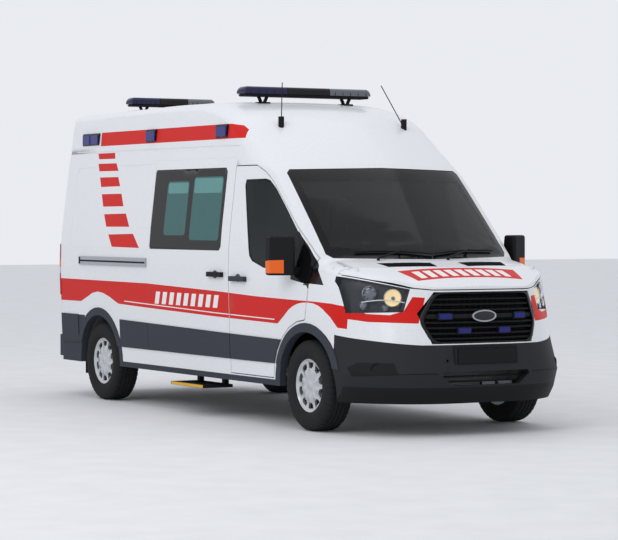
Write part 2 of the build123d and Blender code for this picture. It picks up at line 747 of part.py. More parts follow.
def door_trim(side, layer, cover):
    """Handle and lower moulding of a front door."""
    moulding = layer & side_cut(moulding_zone(-b_seam + 10, -300, 0), side)
    moulding = moulding & side_cut(door_outline(-door_gap / 2), side)
    handle = box(fx(-1170), fx(-915), side * 960, side * 1052, 1132, 1172) - cover
    return [moulding, biggest(handle)]


def moulding_zone(x0, x1, grow):
    """Band of the lower side mouldings in side view."""
    low = moulding_low
    return grown([(x0, low), (x1, low), (x1, moulding_top(x1)), (x0, moulding_top(x0))], grow)


def moulding_top(x):
    """Height of the top edge of the mouldings, falling slightly to the front."""
    return 760 + 70 * max(-1.0, min(0.0, (-4200 - x) / 3800))


def moulding_pieces(layer):
    """Fixed lower mouldings with the arch rings."""
    pieces = []
    for side in (-1, 1):
        spans = [(-4560, -4190), (-3300, -slide_seam - 2), (-slide_seam + 2, -b_seam - 2)]
        if side > 0:
            spans = [(-4560, -4190), (-3300, -b_seam - 2)]
        for x0, x1 in spans:
            pieces += solids_of(layer & side_cut(moulding_zone(x0, x1, 0), side))
        for x in (front_axle, rear_axle):
            ring = tube_y(x, side * 800, side * 1100, tyre_radius, ring_radius)
            ring = ring - tube_y(x, side * 790, side * 1110, tyre_radius, arch_radius + 1)
            ring = ring & box(x - 600, x + 600, -1200, 1200, moulding_low, 900)
            pieces += solids_of(layer & ring)
    return pieces


def lightbar(x0, x1, half, top, feet, clear):
    """Roof light bar on two feet."""
    bar = fillet(box(x0, x1, -half, half, top - bar_thick, top).edges(), 14)
    for side in (-1, 1):
        foot_top = top - bar_thick + 6
        bar += box(x0 + 30, x1 - 30, side * feet, side * (feet + 55), roof_top - 110, foot_top)
    return biggest(bar - clear)


def marker_lights(clear):
    """Three lamps on each upper side of the body."""
    lamps = []
    for side in (-1, 1):
        for x0, x1 in ((-4290, -3930), (-2960, -2760), (-1640, -1430)):
            low, high = 2302 + roof_shift, 2390 + roof_shift
            reach = 927 * belt_scale
            lamp = box(fx(x0), fx(x1), side * (reach - 80), side * reach, low, high)
            lamps.append(biggest(lamp - clear))
    return lamps


def aerials(clear):
    """Two whip aerials on the cab roof, leaning back and inward."""
    rods = []
    for side in (-1, 1):
        foot = Vector(fx(-1115), side * 589, 2400)
        tip = Vector(fx(-1299), side * 477, aerial_top)
        lean = (tip - foot).normalized()
        rod = Solid.extrude(Face(Wire.make_circle(4, Plane(origin=foot, z_dir=lean))), tip - foot)
        base = tube_z(fx(-1115), side * 589, 2330, 2470, 24)
        rods.append(biggest((Part() + rod + base) - clear))
    return rods


def rear_bumper_piece():
    """Rear step bumper."""
    reach = tail
    bar = box(reach, rx(-4655) - 0.3, -930, 930, 352, 548)
    upright = bar.edges().filter_by(Axis.Z)
    corners = [e for e in upright if e.center().X < reach + 1]
    return fillet(corners, 60)


def lamps_rear(layer):
    """Tall rear lamps on the corner posts."""
    lamps = []
    for side in (-1, 1):
        points = [(side * 905, 930), (side * 1040, 930), (side * 1040, 1400), (side * 905, 1400)]
        lamp = layer & face_prism(points, rx(-4800), rx(-4570), 0)
        lamps.append(biggest(lamp))
    return lamps


def small_fittings(panels, cover):
    """Rail, handles, flaps, step, plates and wipers."""
    rail = box(rx(-4130), fx(-2742), -960, -1036, 1218, 1294)
    panels["slide_rail"] = biggest(rail - cover)
    handle = box(fx(-1560), fx(-1310), -960, -1052, 1160, 1200)
    panels["sliding_door_handle"] = biggest(handle - cover)
    panels["mudflaps"] = [
        box(rear_axle - 462, rear_axle - 450, side * 765, side * 930, 215, floor_top - floor_thick - 0.3)
        for side in (-1, 1)
    ]
    step = box(fx(-2200), fx(-1600), -1055, -780, 236, 262)
    for x in (-2150, -1700):
        step += box(fx(x), fx(x) + 50, -830, -790, 240, floor_top - floor_thick - 0.3)
    panels["side_step"] = step
    panels["number_plate"] = box(fx(bumper_reach - 4), fx(bumper_reach), -260, 260, 554, 664)
    latch = box(rx(-4690), rx(-4650), 30, 190, 1020, 1075)
    panels["rear_door_handle"] = biggest(latch - cover)


def main():
    os.makedirs("parts", exist_ok=True)
    panels = build_panels()
    front_hinges(panels)
    rear_hinges(panels)
    bonnet_hinges(panels)
    cover = sides_solid(-0.3)
    roof_cover = sides_solid(-0.3) & lid_solid(-0.3)
    layer = sides_solid(-8) - cover
    panels["floor"] = floor_piece()
    panels["bulkhead"] = bulkhead_piece()
    panels["dashboard"] = dashboard_piece()
    panels["steering_wheel"] = steering_wheel_piece()
    panels["cab_seats"] = seat_pieces()
    panels["engine"] = engine_piece()
    panels["front_suspension"] = suspension_piece()
    panels["rear_axle"] = rear_axle_piece()
    panels["exhaust"] = exhaust_piece()
    for side, name in ((-1, "right"), (1, "left")):
        panels["knuckle_" + name] = knuckle_piece(side)
        panels["mirror_" + name] = mirror_piece(side, cover)
        panels["front_door_trim_" + name] = door_trim(side, layer, cover)
        for x, place in ((front_axle, "front"), (rear_axle, "rear")):
            panels["tyre_" + place + "_" + name] = tyre_piece(x, side)
            panels["rim_" + place + "_" + name] = rim_piece(x, side)
    panels["side_mouldings"] = moulding_pieces(layer)
    front_top = bar_top + roof_shift
    panels["lightbar_front"] = lightbar(fx(-1850), fx(-1690), front_bar_half, front_top, 400, roof_cover)
    rear_top = front_top + rear_bar_rise
    panels["lightbar_rear"] = lightbar(rx(-4385), rx(-4245), rear_bar_half, rear_top, 300, roof_cover)
    panels["marker_lights"] = marker_lights(roof_cover)
    panels["antennas"] = aerials(roof_cover)
    panels["rear_bumper"] = rear_bumper_piece()
    panels["tail_lamps"] = lamps_rear(layer)
    small_fittings(panels, cover)
    for name, shape in panels.items():
        save(name, shape)


main()
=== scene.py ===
import bpy
import bmesh
import math
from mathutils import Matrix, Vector
from mathutils.bvhtree import BVHTree


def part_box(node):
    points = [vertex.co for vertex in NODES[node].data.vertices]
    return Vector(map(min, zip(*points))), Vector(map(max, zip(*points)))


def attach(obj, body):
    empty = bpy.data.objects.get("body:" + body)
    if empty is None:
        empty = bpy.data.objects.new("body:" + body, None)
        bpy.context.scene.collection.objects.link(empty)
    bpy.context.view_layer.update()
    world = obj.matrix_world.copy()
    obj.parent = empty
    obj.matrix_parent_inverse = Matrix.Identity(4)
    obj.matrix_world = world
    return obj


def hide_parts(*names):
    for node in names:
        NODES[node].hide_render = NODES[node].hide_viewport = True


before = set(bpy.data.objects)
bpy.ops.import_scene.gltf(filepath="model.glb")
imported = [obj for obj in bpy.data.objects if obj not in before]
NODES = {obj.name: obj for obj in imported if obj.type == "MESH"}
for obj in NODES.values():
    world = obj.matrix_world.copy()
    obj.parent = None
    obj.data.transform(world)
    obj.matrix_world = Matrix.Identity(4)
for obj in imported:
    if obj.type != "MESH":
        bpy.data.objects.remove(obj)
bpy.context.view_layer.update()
scene = bpy.context.scene
FRONT_AXLE = 1.9035
REAR_AXLE = -1.8465
AXLE_Z = 0.352
RIGHT, LEFT = -1, 1
SIDES = ((RIGHT, "right"), (LEFT, "left"))


def fx(distance):
    """Distance ahead of the front axle to the shared frame."""
    return FRONT_AXLE + distance


# Materials
def material(name, color, rough=0.5, metal=0.0, coat=0.0, grain=400.0, bump=0.0, alpha=1.0, glow=None, spec=0.5):
    """Procedural surface: fine noise breaks up the colour, and a bump where asked."""
    made = bpy.data.materials.new(name)
    made.use_nodes = True
    tree = made.node_tree
    shader = tree.nodes["Principled BSDF"]
    sockets = {"Roughness": rough, "Metallic": metal, "Coat Weight": coat, "Coat Roughness": 0.04, "Alpha": alpha,
               "Specular IOR Level": spec}
    for socket, value in sockets.items():
        shader.inputs[socket].default_value = value
    place = tree.nodes.new("ShaderNodeTexCoord")
    noise = tree.nodes.new("ShaderNodeTexNoise")
    noise.inputs["Scale"].default_value = grain
    noise.inputs["Detail"].default_value = 3.0
    tree.links.new(place.outputs["Object"], noise.inputs["Vector"])
    ramp = tree.nodes.new("ShaderNodeValToRGB")
    ramp.color_ramp.elements[0].position = 0.25
    ramp.color_ramp.elements[1].position = 0.75
    ramp.color_ramp.elements[0].color = tuple(c * 0.96 for c in color) + (1,)
    ramp.color_ramp.elements[1].color = tuple(min(1.0, c * 1.03) for c in color) + (1,)
    tree.links.new(noise.outputs["Fac"], ramp.inputs["Fac"])
    tree.links.new(ramp.outputs["Color"], shader.inputs["Base Color"])
    if bump:
        height = tree.nodes.new("ShaderNodeBump")
        height.inputs["Strength"].default_value = bump
        height.inputs["Distance"].default_value = 0.002
        tree.links.new(noise.outputs["Fac"], height.inputs["Height"])
        tree.links.new(height.outputs["Normal"], shader.inputs["Normal"])
    if glow:
        shader.inputs["Emission Color"].default_value = glow[:3] + (1,)
        shader.inputs["Emission Strength"].default_value = glow[3]
    return made


MAT = {
    "white": material("white_paint", (0.735, 0.745, 0.765), 0.34, coat=0.25, grain=60, spec=0.4),
    "red": material("red_stripe", (0.60, 0.012, 0.008), 0.45, grain=90, spec=0.15),
    "charcoal": material("bumper_charcoal", (0.024, 0.025, 0.028), 0.6, grain=700, bump=0.2, spec=0.12),
    "smoke": material("smoked_lens", (0.085, 0.090, 0.105), 0.14, coat=0.6, grain=80),
    "decal_white": material("white_stripe", (0.82, 0.80, 0.80), 0.4, grain=90),
    "slate": material("slate_moulding", (0.042, 0.047, 0.060), 0.65, grain=700, bump=0.25, spec=0.12),
    "black": material("black_plastic", (0.009, 0.009, 0.011), 0.6, grain=600, bump=0.2, spec=0.15),
    "gloss_black": material("gloss_black", (0.006, 0.006, 0.008), 0.2, grain=50, spec=0.25),
    "rubber": material("seal_rubber", (0.012, 0.012, 0.013), 0.75, grain=500, bump=0.2),
    "tyre": material("tyre_rubber", (0.020, 0.020, 0.021), 0.8, grain=350, bump=0.35, spec=0.12),
    "silver": material("wheel_silver", (0.56, 0.57, 0.59), 0.32, metal=0.75, coat=0.3, grain=80),
    "steel": material("steel", (0.34, 0.34, 0.35), 0.42, metal=0.9, grain=120, bump=0.1),
    "chrome": material("bright_metal", (0.75, 0.76, 0.78), 0.12, metal=1.0, grain=60),
    "iron": material("engine_iron", (0.16, 0.16, 0.17), 0.6, metal=0.5, grain=90, bump=0.3),
    "chassis": material("chassis_coating", (0.035, 0.036, 0.038), 0.65, grain=200, bump=0.3),
    "under": material("underbody_grey", (0.10, 0.105, 0.11), 0.75, grain=150, bump=0.3),
    "cabin": material("cabin_lining", (0.16, 0.165, 0.17), 0.8, grain=500, bump=0.2),
    "dash": material("dash_plastic", (0.030, 0.031, 0.034), 0.6, grain=700, bump=0.3),
    "fabric": material("seat_fabric", (0.055, 0.060, 0.072), 0.92, grain=1600, bump=0.6),
    "screen": material("windscreen_glass", (0.012, 0.015, 0.015), 0.06, grain=20, alpha=0.66, spec=0.3),
    "glass": material("door_glass", (0.010, 0.014, 0.015), 0.06, grain=20, alpha=0.72, spec=0.25),
    "frit": material("glass_frit", (0.005, 0.005, 0.006), 0.12, grain=60, spec=0.2),
    "teal": material("frosted_teal", (0.030, 0.112, 0.110), 0.25, grain=9, spec=0.2),
    # Lighter teal for the top band of the side panes is a painted reflection.
    "teal_top_reflection": material("frosted_teal_painted_reflection", (0.095, 0.260, 0.250), 0.25, grain=9, spec=0.2),
    "lens": material("lamp_lens", (0.20, 0.22, 0.24), 0.04, grain=20, alpha=0.10, spec=0.35),
    "bezel": material("lamp_bezel", (0.020, 0.022, 0.028), 0.3, grain=60, spec=0.3),
    "lit": material("lamp_lit", (0.80, 0.66, 0.38), 0.3, grain=14, glow=(1.0, 0.72, 0.34, 0.38)),
    "projector": material("projector_glass", (0.13, 0.15, 0.18), 0.04, grain=20, spec=0.5),
    "orange": material("orange_lens", (0.66, 0.100, 0.008), 0.25, spec=0.3, grain=70, glow=(1.0, 0.2, 0.01, 0.12)),
    "red_lens": material("red_lens", (0.40, 0.010, 0.010), 0.16, coat=0.5, grain=70),
    "clear_lens": material("clear_lens", (0.60, 0.62, 0.64), 0.12, coat=0.5, grain=70),
    "blue": material("blue_lens", (0.008, 0.012, 0.16), 0.16, grain=80, spec=0.35),
    "blue_dark": material("blue_lens_dark", (0.007, 0.009, 0.050), 0.16, grain=80, spec=0.35),
    "mirror": material("mirror_glass", (0.70, 0.72, 0.74), 0.03, metal=1.0, grain=20),
    "plate": material("plate_white", (0.74, 0.75, 0.75), 0.4, grain=150),
    "rail": material("rail_silver", (0.42, 0.44, 0.47), 0.35, metal=0.7, grain=120),
    "yellow": material("step_edge", (0.72, 0.40, 0.02), 0.6, grain=200, bump=0.2),
    # Dark grey for panel gaps, and on the door handle ovals painted shade of the handle recesses.
    "seam": material("panel_gap_and_recess_shade", (0.10, 0.10, 0.105), 0.8, grain=200),
}


# Building blocks
def add(name, bm, look, body="body", replaces=(), sharp=32.0, smooth=True):
    """Make an object from mesh data, finish it and hang it on its body."""
    bm.normal_update()
    mesh = bpy.data.meshes.new(name)
    bm.to_mesh(mesh)
    bm.free()
    for key in [look] if isinstance(look, str) else look:
        mesh.materials.append(MAT[key])
    made = bpy.data.objects.new(name, mesh)
    scene.collection.objects.link(made)
    if smooth:
        mesh.shade_smooth()
        mesh.set_sharp_from_angle(angle=math.radians(sharp))
    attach(made, body)
    if replaces:
        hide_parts(*replaces)
    return made


def outward(bm):
    """Turn all faces outwards."""
    bmesh.ops.recalc_face_normals(bm, faces=bm.faces)
    return bm


def capped(bm):
    """Close the open ends."""
    bmesh.ops.holes_fill(bm, edges=[e for e in bm.edges if e.is_boundary], sides=0)
    return outward(bm)


def bevel(bm, width, segments=2, limit=30.0):
    """Round the sharp edges."""
    bm.normal_update()
    edges = [e for e in bm.edges if len(e.link_faces) == 2 and e.calc_face_angle(0) > math.radians(limit)]
    bmesh.ops.bevel(bm, geom=edges, offset=width, segments=segments, affect="EDGES", clamp_overlap=True)


def prism(points, direction, depth):
    """Closed solid: a loop of 3-D points pushed along a direction."""
    bm = bmesh.new()
    push = Vector(direction) * depth
    near = [bm.verts.new(Vector(p)) for p in points]
    far = [bm.verts.new(Vector(p) + push) for p in points]
    bm.faces.new(near)
    bm.faces.new(far[::-1])
    count = len(points)
    for i in range(count):
        bm.faces.new([near[i], far[i], far[(i + 1) % count], near[(i + 1) % count]][::-1])
    return outward(bm)


def block(low, high, round_by=0.0, segments=2):
    """Box with rounded edges."""
    (x0, y0, z0), (x1, y1, z1) = low, high
    bm = prism([(x0, y0, z0), (x1, y0, z0), (x1, y1, z0), (x0, y1, z0)], (0, 0, 1), z1 - z0)
    if round_by:
        bevel(bm, round_by, segments)
    return bm


def join(*parts):
    """Put several pieces of mesh data together."""
    whole = bmesh.new()
    for part in parts:
        mesh = bpy.data.meshes.new("part")
        part.to_mesh(mesh)
        part.free()
        whole.from_mesh(mesh)
        bpy.data.meshes.remove(mesh)
    return whole


def grid(rows, close_u=False, close_v=False):
    """Faces between rows of 3-D points."""
    bm = bmesh.new()
    made = [[bm.verts.new(Vector(p)) for p in row] for row in rows]
    for i in range(len(rows) - (0 if close_u else 1)):
        upper = made[(i + 1) % len(rows)]
        for j in range(len(rows[0]) - (0 if close_v else 1)):
            k = (j + 1) % len(rows[0])
            bm.faces.new([made[i][j], made[i][k], upper[k], upper[j]])
    return bm


def turned(profile, centre, axis, count=64, hub=None):
    """Body of revolution: profile of (along, radius) about an axis through centre."""
    axis = Vector(axis).normalized()
    side = axis.orthogonal().normalized() if hub is None else Vector(hub)
    other = axis.cross(side)
    rows = []
    for along, radius in profile:
        row = []
        for i in range(count):
            turn = 2 * math.pi * i / count
            row.append(Vector(centre) + axis * along + (side * math.cos(turn) + other * math.sin(turn)) * radius)
        rows.append(row)
    bm = grid(rows, close_v=True)
    bmesh.ops.remove_doubles(bm, verts=bm.verts, dist=1e-6)
    for ends in (0, -1):
        if profile[ends][1] > 1e-6:
            loop = [v for v in bm.verts if v.is_boundary]
            near = Vector(centre) + axis * profile[ends][0]
            loop = [v for v in loop if abs((v.co - near).dot(axis)) < 1e-6]
            if len(loop) >= 3:
                bmesh.ops.contextual_create(bm, geom=loop)
    return outward(bm)


def rod(points, radius, count=12):
    """Tube through 3-D points."""
    rows = []
    points = [Vector(p) for p in points]
    for i, point in enumerate(points):
        along = (points[min(i + 1, len(points) - 1)] - points[max(i - 1, 0)]).normalized()
        side = along.orthogonal().normalized()
        if abs(along.z) < 0.95:
            side = along.cross(Vector((0, 0, 1))).normalized()
        other = along.cross(side)
        size = radius[i] if isinstance(radius, (list, tuple)) else radius
        row = []
        for j in range(count):
            turn = 2 * math.pi * j / count
            row.append(point + (side * math.cos(turn) + other * math.sin(turn)) * size)
        rows.append(row)
    bm = grid(rows, close_v=True)
    return capped(bm)


def tree_of(*names):
    """Ray-casting tree of CAD nodes."""
    verts, faces = [], []
    for name in names:
        base = len(verts)
        mesh = NODES[name].data
        verts += [v.co.copy() for v in mesh.vertices]
        faces += [[base + i for i in p.vertices] for p in mesh.polygons]
    return BVHTree.FromPolygons(verts, faces)


def cast(tree, start, heading, lift):
    """First point that a ray meets, lifted back towards its start, or None."""
    spot = tree.ray_cast(Vector(start), Vector(heading))[0]
    return None if spot is None else spot - Vector(heading) * lift


def on_front(tree, y, z):
    """Point of the nose at a side and height."""
    return cast(tree, (4.0, y, z), (-1, 0, 0), 0.0)


def on_side(tree, x, z, side, lift=0.0):
    """Point of the body side at a length and height."""
    return cast(tree, (x, side * 3.0, z), (0, -side, 0), lift)


def on_top(tree, x, y, lift=0.0):
    """Point of the roof or bonnet at a length and side."""
    return cast(tree, (x, y, 4.0), (0, 0, -1), lift)


def on_rear(tree, y, z):
    """Point of the rear face at a side and height."""
    return cast(tree, (-4.0, y, z), (1, 0, 0), 0.0)


# Painting CAD panels
def cut_and_paint(bm, polygon, along, index, wanted):
    """Cut faces along a convex outline, seen along an axis, and give those inside it a material."""
    flat = FLAT[along]
    centre = Vector((sum(p[0] for p in polygon) / len(polygon), sum(p[1] for p in polygon) / len(polygon)))
    low = [min(p[i] for p in polygon) - 1e-4 for i in (0, 1)]
    high = [max(p[i] for p in polygon) + 1e-4 for i in (0, 1)]

    def touching():
        found = []
        for face in bm.faces:
            if not wanted(face):
                continue
            spots = [flat(v.co) for v in face.verts]
            if max(s[0] for s in spots) < low[0] or min(s[0] for s in spots) > high[0]:
                continue
            if max(s[1] for s in spots) < low[1] or min(s[1] for s in spots) > high[1]:
                continue
            found.append(face)
        return found

    count = len(polygon)
    for i in range(count):
        a, b = polygon[i], polygon[(i + 1) % count]
        edge = Vector((b[0] - a[0], b[1] - a[1]))
        normal2 = Vector((-edge[1], edge[0])).normalized()
        place = unflat(a, along)
        normal = unflat(normal2, along)
        faces = touching()
        geom = set(faces)
        for face in faces:
            geom.update(face.edges)
            geom.update(face.verts)
        bmesh.ops.bisect_plane(bm, geom=list(geom), dist=1e-6, plane_co=place, plane_no=normal)
    corners = [Vector(p) for p in polygon]
    sides = list(zip(corners, corners[1:] + corners[:1]))
    for face in touching():
        spot = Vector(flat(face.calc_center_median()))
        if all((b - a).cross(spot - a) * (b - a).cross(centre - a) >= 0 for a, b in sides):
            face.material_index = index


def unflat(pair, along):
    """Two coordinates of an outline back to a 3-D point."""
    if along == "y":
        return Vector((pair[0], 0, pair[1]))
    if along == "x":
        return Vector((0, pair[0], pair[1]))
    return Vector((pair[0], pair[1], 0))


PAINTS = ("white", "red", "decal_white", "frit", "slate")
FLAT = {"y": lambda p: (p.x, p.z), "x": lambda p: (p.y, p.z), "z": lambda p: (p.x, p.y)}


def ribbon(top, bottom):
    """Quads between two lines of (position, height)."""
    def at(line, x):
        for (x0, z0), (x1, z1) in zip(line, line[1:]):
            if x0 - 1e-9 <= x <= x1 + 1e-9:
                return z0 + (z1 - z0) * (x - x0) / max(x1 - x0, 1e-9)
        return line[-1][1] if x > line[-1][0] else line[0][1]

    stations = sorted({round(p[0], 5) for p in top} | {round(p[0], 5) for p in bottom})
    low = max(top[0][0], bottom[0][0])
    high = min(top[-1][0], bottom[-1][0])
    stations = [s for s in stations if low - 1e-6 <= s <= high + 1e-6]
    quads = []
    for a, b in zip(stations, stations[1:]):
        quads.append([(a, at(bottom, a)), (b, at(bottom, b)), (b, at(top, b)), (a, at(top, a))])
    return quads


def at_axle(polygons):
    """Outlines measured from the front axle, moved to the shared frame."""
    return [[(fx(a), z) for a, z in polygon] for polygon in polygons]


def slanted_bars(x0, x1, z0, z1, count, lean, fill=0.58):
    """Row of leaning bars inside a box."""
    pitch = (x1 - x0) / count
    bars = []
    for i in range(count):
        a = x0 + pitch * (i + 0.5 - fill / 2)
        b = a + pitch * fill
        bars.append([(a, z0), (b, z0), (b + lean, z1), (a + lean, z1)])
    return bars


def painted(node, jobs, body="body", looks=PAINTS, sharp=30.0):
    """Replace a CAD panel by the same panel with cut-in colours."""
    bm = bmesh.new()
    bm.from_mesh(NODES[node].data)
    bmesh.ops.remove_doubles(bm, verts=bm.verts, dist=1e-5)
    for vert in bm.verts:
        pin = Vector((vert.co.x - fx(0.240), vert.co.z - 1.258))
        if node == "front_wings" and abs(vert.co.y) > 0.9035 and pin.length < 0.0095:
            vert.co.y *= 0.975
    for face in bm.faces:
        face.material_index = 0
    bm.normal_update()
    for polygons, along, index, wanted in jobs:
        for polygon in polygons:
            cut_and_paint(bm, polygon, along, index, wanted)
    made = add(node + "_painted", bm, looks, body, replaces=(node,), sharp=sharp)
    weigh = made.modifiers.new("normals", "WEIGHTED_NORMAL")
    weigh.keep_sharp = True
    weigh.weight = 80
    return made


def outer_right(face):
    return face.normal.y < -0.25


def outer_left(face):
    return face.normal.y > 0.25


def nose(face):
    return face.normal.x > 0.2


def upward(face):
    return face.normal.z > 0.3


def every_face(face):
    return True


BAND_TOP = [
    (-4.66, 1.083), (-2.746, 1.076), (-1.399, 1.042), (-0.776, 1.020), (-0.157, 1.007),
    (0.123, 1.002), (0.339, 0.993), (0.500, 0.972),
]
BAND_BOTTOM = [
    (-4.66, 0.879), (-4.12, 0.881), (-3.98, 0.925), (-3.87, 0.962), (-3.75, 0.978), (-3.63, 0.966),
    (-3.50, 0.936), (-3.40, 0.903), (-3.32, 0.881), (-2.76, 0.865), (-1.472, 0.834), (-0.423, 0.815),
    (-0.356, 0.855), (-0.25, 0.927), (-0.19, 0.957), (-0.131, 0.977), (-0.06, 0.989), (0.02, 0.992),
    (0.10, 0.988), (0.173, 0.972), (0.24, 0.945), (0.33, 0.892), (0.414, 0.813), (0.500, 0.806),
]
PIN_TOP = [(-3.20, 0.912), (-1.472, 0.868), (-0.470, 0.850)]
PIN_BOTTOM = [(-3.20, 0.904), (-1.472, 0.860), (-0.470, 0.842)]
BARS = [
    [(-3.935, 2.226), (-3.578, 2.226), (-3.560, 2.172), (-3.906, 2.174)],
    [(-3.909, 2.133), (-3.524, 2.131), (-3.467, 2.062), (-3.871, 2.064)],
    [(-3.843, 2.008), (-3.456, 2.007), (-3.397, 1.924), (-3.798, 1.921)],
    [(-3.768, 1.856), (-3.352, 1.857), (-3.285, 1.745), (-3.710, 1.743)],
    [(-3.673, 1.675), (-3.219, 1.681), (-3.123, 1.564), (-3.601, 1.563)],
    [(-3.545, 1.494), (-3.035, 1.503), (-2.894, 1.380), (-3.453, 1.385)],
]

side_band = at_axle(ribbon(BAND_TOP, BAND_BOTTOM))
side_pin = at_axle(ribbon(PIN_TOP, PIN_BOTTOM))
UPPER_LOW, UPPER_HIGH = 2.292, 2.415
upper_band = at_axle([
    [(-3.90, UPPER_LOW), (-1.40, UPPER_LOW), (-1.40, UPPER_HIGH), (-3.90, UPPER_HIGH)],
    [(-1.40, UPPER_LOW), (-1.17, UPPER_LOW), (-1.20, 2.362), (-1.27, 2.398), (-1.40, UPPER_HIGH)],
])
side_bars = at_axle(BARS)
side_words = at_axle(slanted_bars(-2.62, -1.40, 0.905, 1.010, 9, 0.035))
under_lamp = [
    [(0.918, 0.881), (0.818, 0.862), (0.818, 0.922), (0.918, 0.975)],
    [(0.818, 0.862), (0.693, 0.858), (0.693, 0.915), (0.818, 0.922)],
    [(0.693, 0.858), (0.625, 0.856), (0.610, 0.945), (0.693, 0.915)],
    [(0.625, 0.856), (0.530, 0.853), (0.500, 0.930), (0.610, 0.945)],
    [(0.610, 0.945), (0.500, 0.930), (0.480, 1.046), (0.553, 1.052)],
]


def mirrored_y(polygons, side):
    """Outlines in the Y-Z plane on one side."""
    return [[(side * y, z) for y, z in polygon] for polygon in polygons]


def side_jobs(wanted, extra):
    """Red band and thin line of a side panel, then what else it carries."""
    return [(side_band, "y", 1, wanted), (side_pin, "y", 2, wanted)] + extra


low_dark = at_axle([[(-4.70, 0.20), (1.1, 0.20), (1.1, 0.372), (-4.70, 0.372)]])
sail_door = at_axle([[
    (-0.245, 1.545), (-0.11, 1.432), (0.060, 1.275), (0.215, 1.130), (-0.081, 1.142), (-0.245, 1.166),
]])
window_rim = at_axle([[
    (-1.040, 1.905), (-0.880, 1.338), (-0.835, 1.298), (-0.660, 1.249), (-0.215, 1.190), (-0.215, 1.505),
    (-0.41, 1.682), (-0.63, 1.871), (-0.73, 1.944), (-0.78, 1.957), (-1.030, 1.953),
]])
tail_dark = at_axle([[(-4.70, 0.365), (-4.05, 0.365), (-4.05, 0.757), (-4.70, 0.757)]])


def ring_outline(a, radius, count=40):
    """Circle about an axle in side view."""
    turns = [2 * math.pi * i / count for i in range(count)]
    return [(fx(a) + radius * math.cos(turn), AXLE_Z + radius * math.sin(turn)) for turn in turns]


arch_front, arch_rear = [ring_outline(0.0, 0.484)], [ring_outline(-3.75, 0.484)]


def any_face(face):
    return abs(face.calc_center_median().y) > 0.70


for side, name, wanted in ((RIGHT, "right", outer_right), (LEFT, "left", outer_left)):
    extra = [(side_bars, "y", 1, wanted), (low_dark, "y", 4, wanted), (tail_dark, "y", 4, wanted),
             (arch_rear, "y", 4, any_face)]
    if side == LEFT:
        extra.append((side_words, "y", 2, wanted))
    painted("body_side_" + name, side_jobs(wanted, extra))
    extra = [(window_rim, "y", 3, any_face), (sail_door, "y", 3, any_face), (low_dark, "y", 4, wanted)]
    painted("front_door_" + name, side_jobs(wanted, extra), "front_door_" + name)
extra = [(side_words, "y", 2, outer_right), (low_dark, "y", 4, outer_right)]
painted("sliding_door", side_jobs(outer_right, extra), sharp=1.0)


def wing_side(face):
    return abs(face.normal.y) > 0.45 and face.normal.x < 0.9


wing_jobs = [
    (side_band, "y", 1, wing_side),
    (sail_door, "y", 3, any_face),
    (mirrored_y(under_lamp, RIGHT), "x", 1, nose),
    (mirrored_y(under_lamp, LEFT), "x", 1, nose),
    (low_dark, "y", 4, wing_side),
    (arch_front, "y", 4, any_face),
]
painted("front_wings", wing_jobs)
painted("roof", [(upper_band, "y", 1, outer_right), (upper_band, "y", 1, outer_left)])
patch = at_axle([[(0.585, -0.530), (0.800, -0.475), (0.800, 0.475), (0.585, 0.530)]])
starts = [-0.430 + i * 0.0956 for i in range(9)]
hood_words = at_axle([[(0.625, y), (0.765, y + 0.006), (0.765, y + 0.062), (0.625, y + 0.068)] for y in starts])
painted("hood", [(patch, "z", 1, upward), (hood_words, "z", 2, upward)], "bonnet")
vents = at_axle([[(0.352, s * 0.572), (0.415, s * 0.125), (0.548, s * 0.140), (0.478, s * 0.540)]
                 for s in (RIGHT, LEFT)])
painted("cowl", [(vents, "z", 3, upward)])
rear_band = [[(0.86, 0.879), (0.0, 0.879), (0.0, 1.083), (0.86, 1.083)]]
for side, name in SIDES:
    jobs = [(mirrored_y(rear_band, side), "x", 1, lambda face: face.normal.x < -0.4)]
    painted("rear_door_" + name, jobs, "rear_door_" + name)

# Windscreen with its dark border
clear_screen = [[(0.770, 1.420), (0.560, 1.395), (0.0, 1.385), (0.0, 1.945), (0.752, 1.935)]]
clear_screen = mirrored_y(clear_screen, 1) + mirrored_y(clear_screen, -1)
painted("windscreen", [(clear_screen, "x", 1, every_face)], "body", ("frit", "screen"))


def rounded(x0, x1, z0, z1, r, count=5, skew=(0, 0, 0, 0)):
    """Outline of a box with round corners; skew moves the corners sideways."""
    points = []
    corners = ((x1 - r, z1 - r, 0), (x0 + r, z1 - r, 90), (x0 + r, z0 + r, 180), (x1 - r, z0 + r, 270))
    for number, (cx, cz, start) in enumerate(corners):
        for i in range(count + 1):
            turn = math.radians(start + 90.0 * i / count)
            points.append((cx + r * math.cos(turn) + skew[number], cz + r * math.sin(turn)))
    return points


pane_a = at_axle([rounded(-2.442, -2.040, 1.495, 1.952, 0.035)])
pane_b = at_axle([rounded(-1.955, -1.425, 1.457, 1.985, 0.035)])
# Lighter band along the top of each pane: painted reflection.
pane_a_reflection = at_axle([rounded(-2.425, -2.055, 1.850, 1.940, 0.020)])
pane_b_reflection = at_axle([rounded(-1.940, -1.440, 1.850, 1.973, 0.020)])
jobs = []
for wanted in (outer_right, outer_left):
    jobs.append((pane_a + pane_b, "y", 1, wanted))
    jobs.append((pane_a_reflection + pane_b_reflection, "y", 2, wanted))
corners = []
for z, up in ((2.060, -1), (1.370, 1)):
    corners.append([(fx(-2.740), z), (fx(-2.665), z), (fx(-2.690), z + 0.020 * up), (fx(-2.735), z + 0.075 * up)])
for wanted in (outer_right, outer_left):
    jobs.append((corners, "y", 3, wanted))
painted("side_windows", jobs, "body", ("frit", "teal", "teal_top_reflection", "white"))

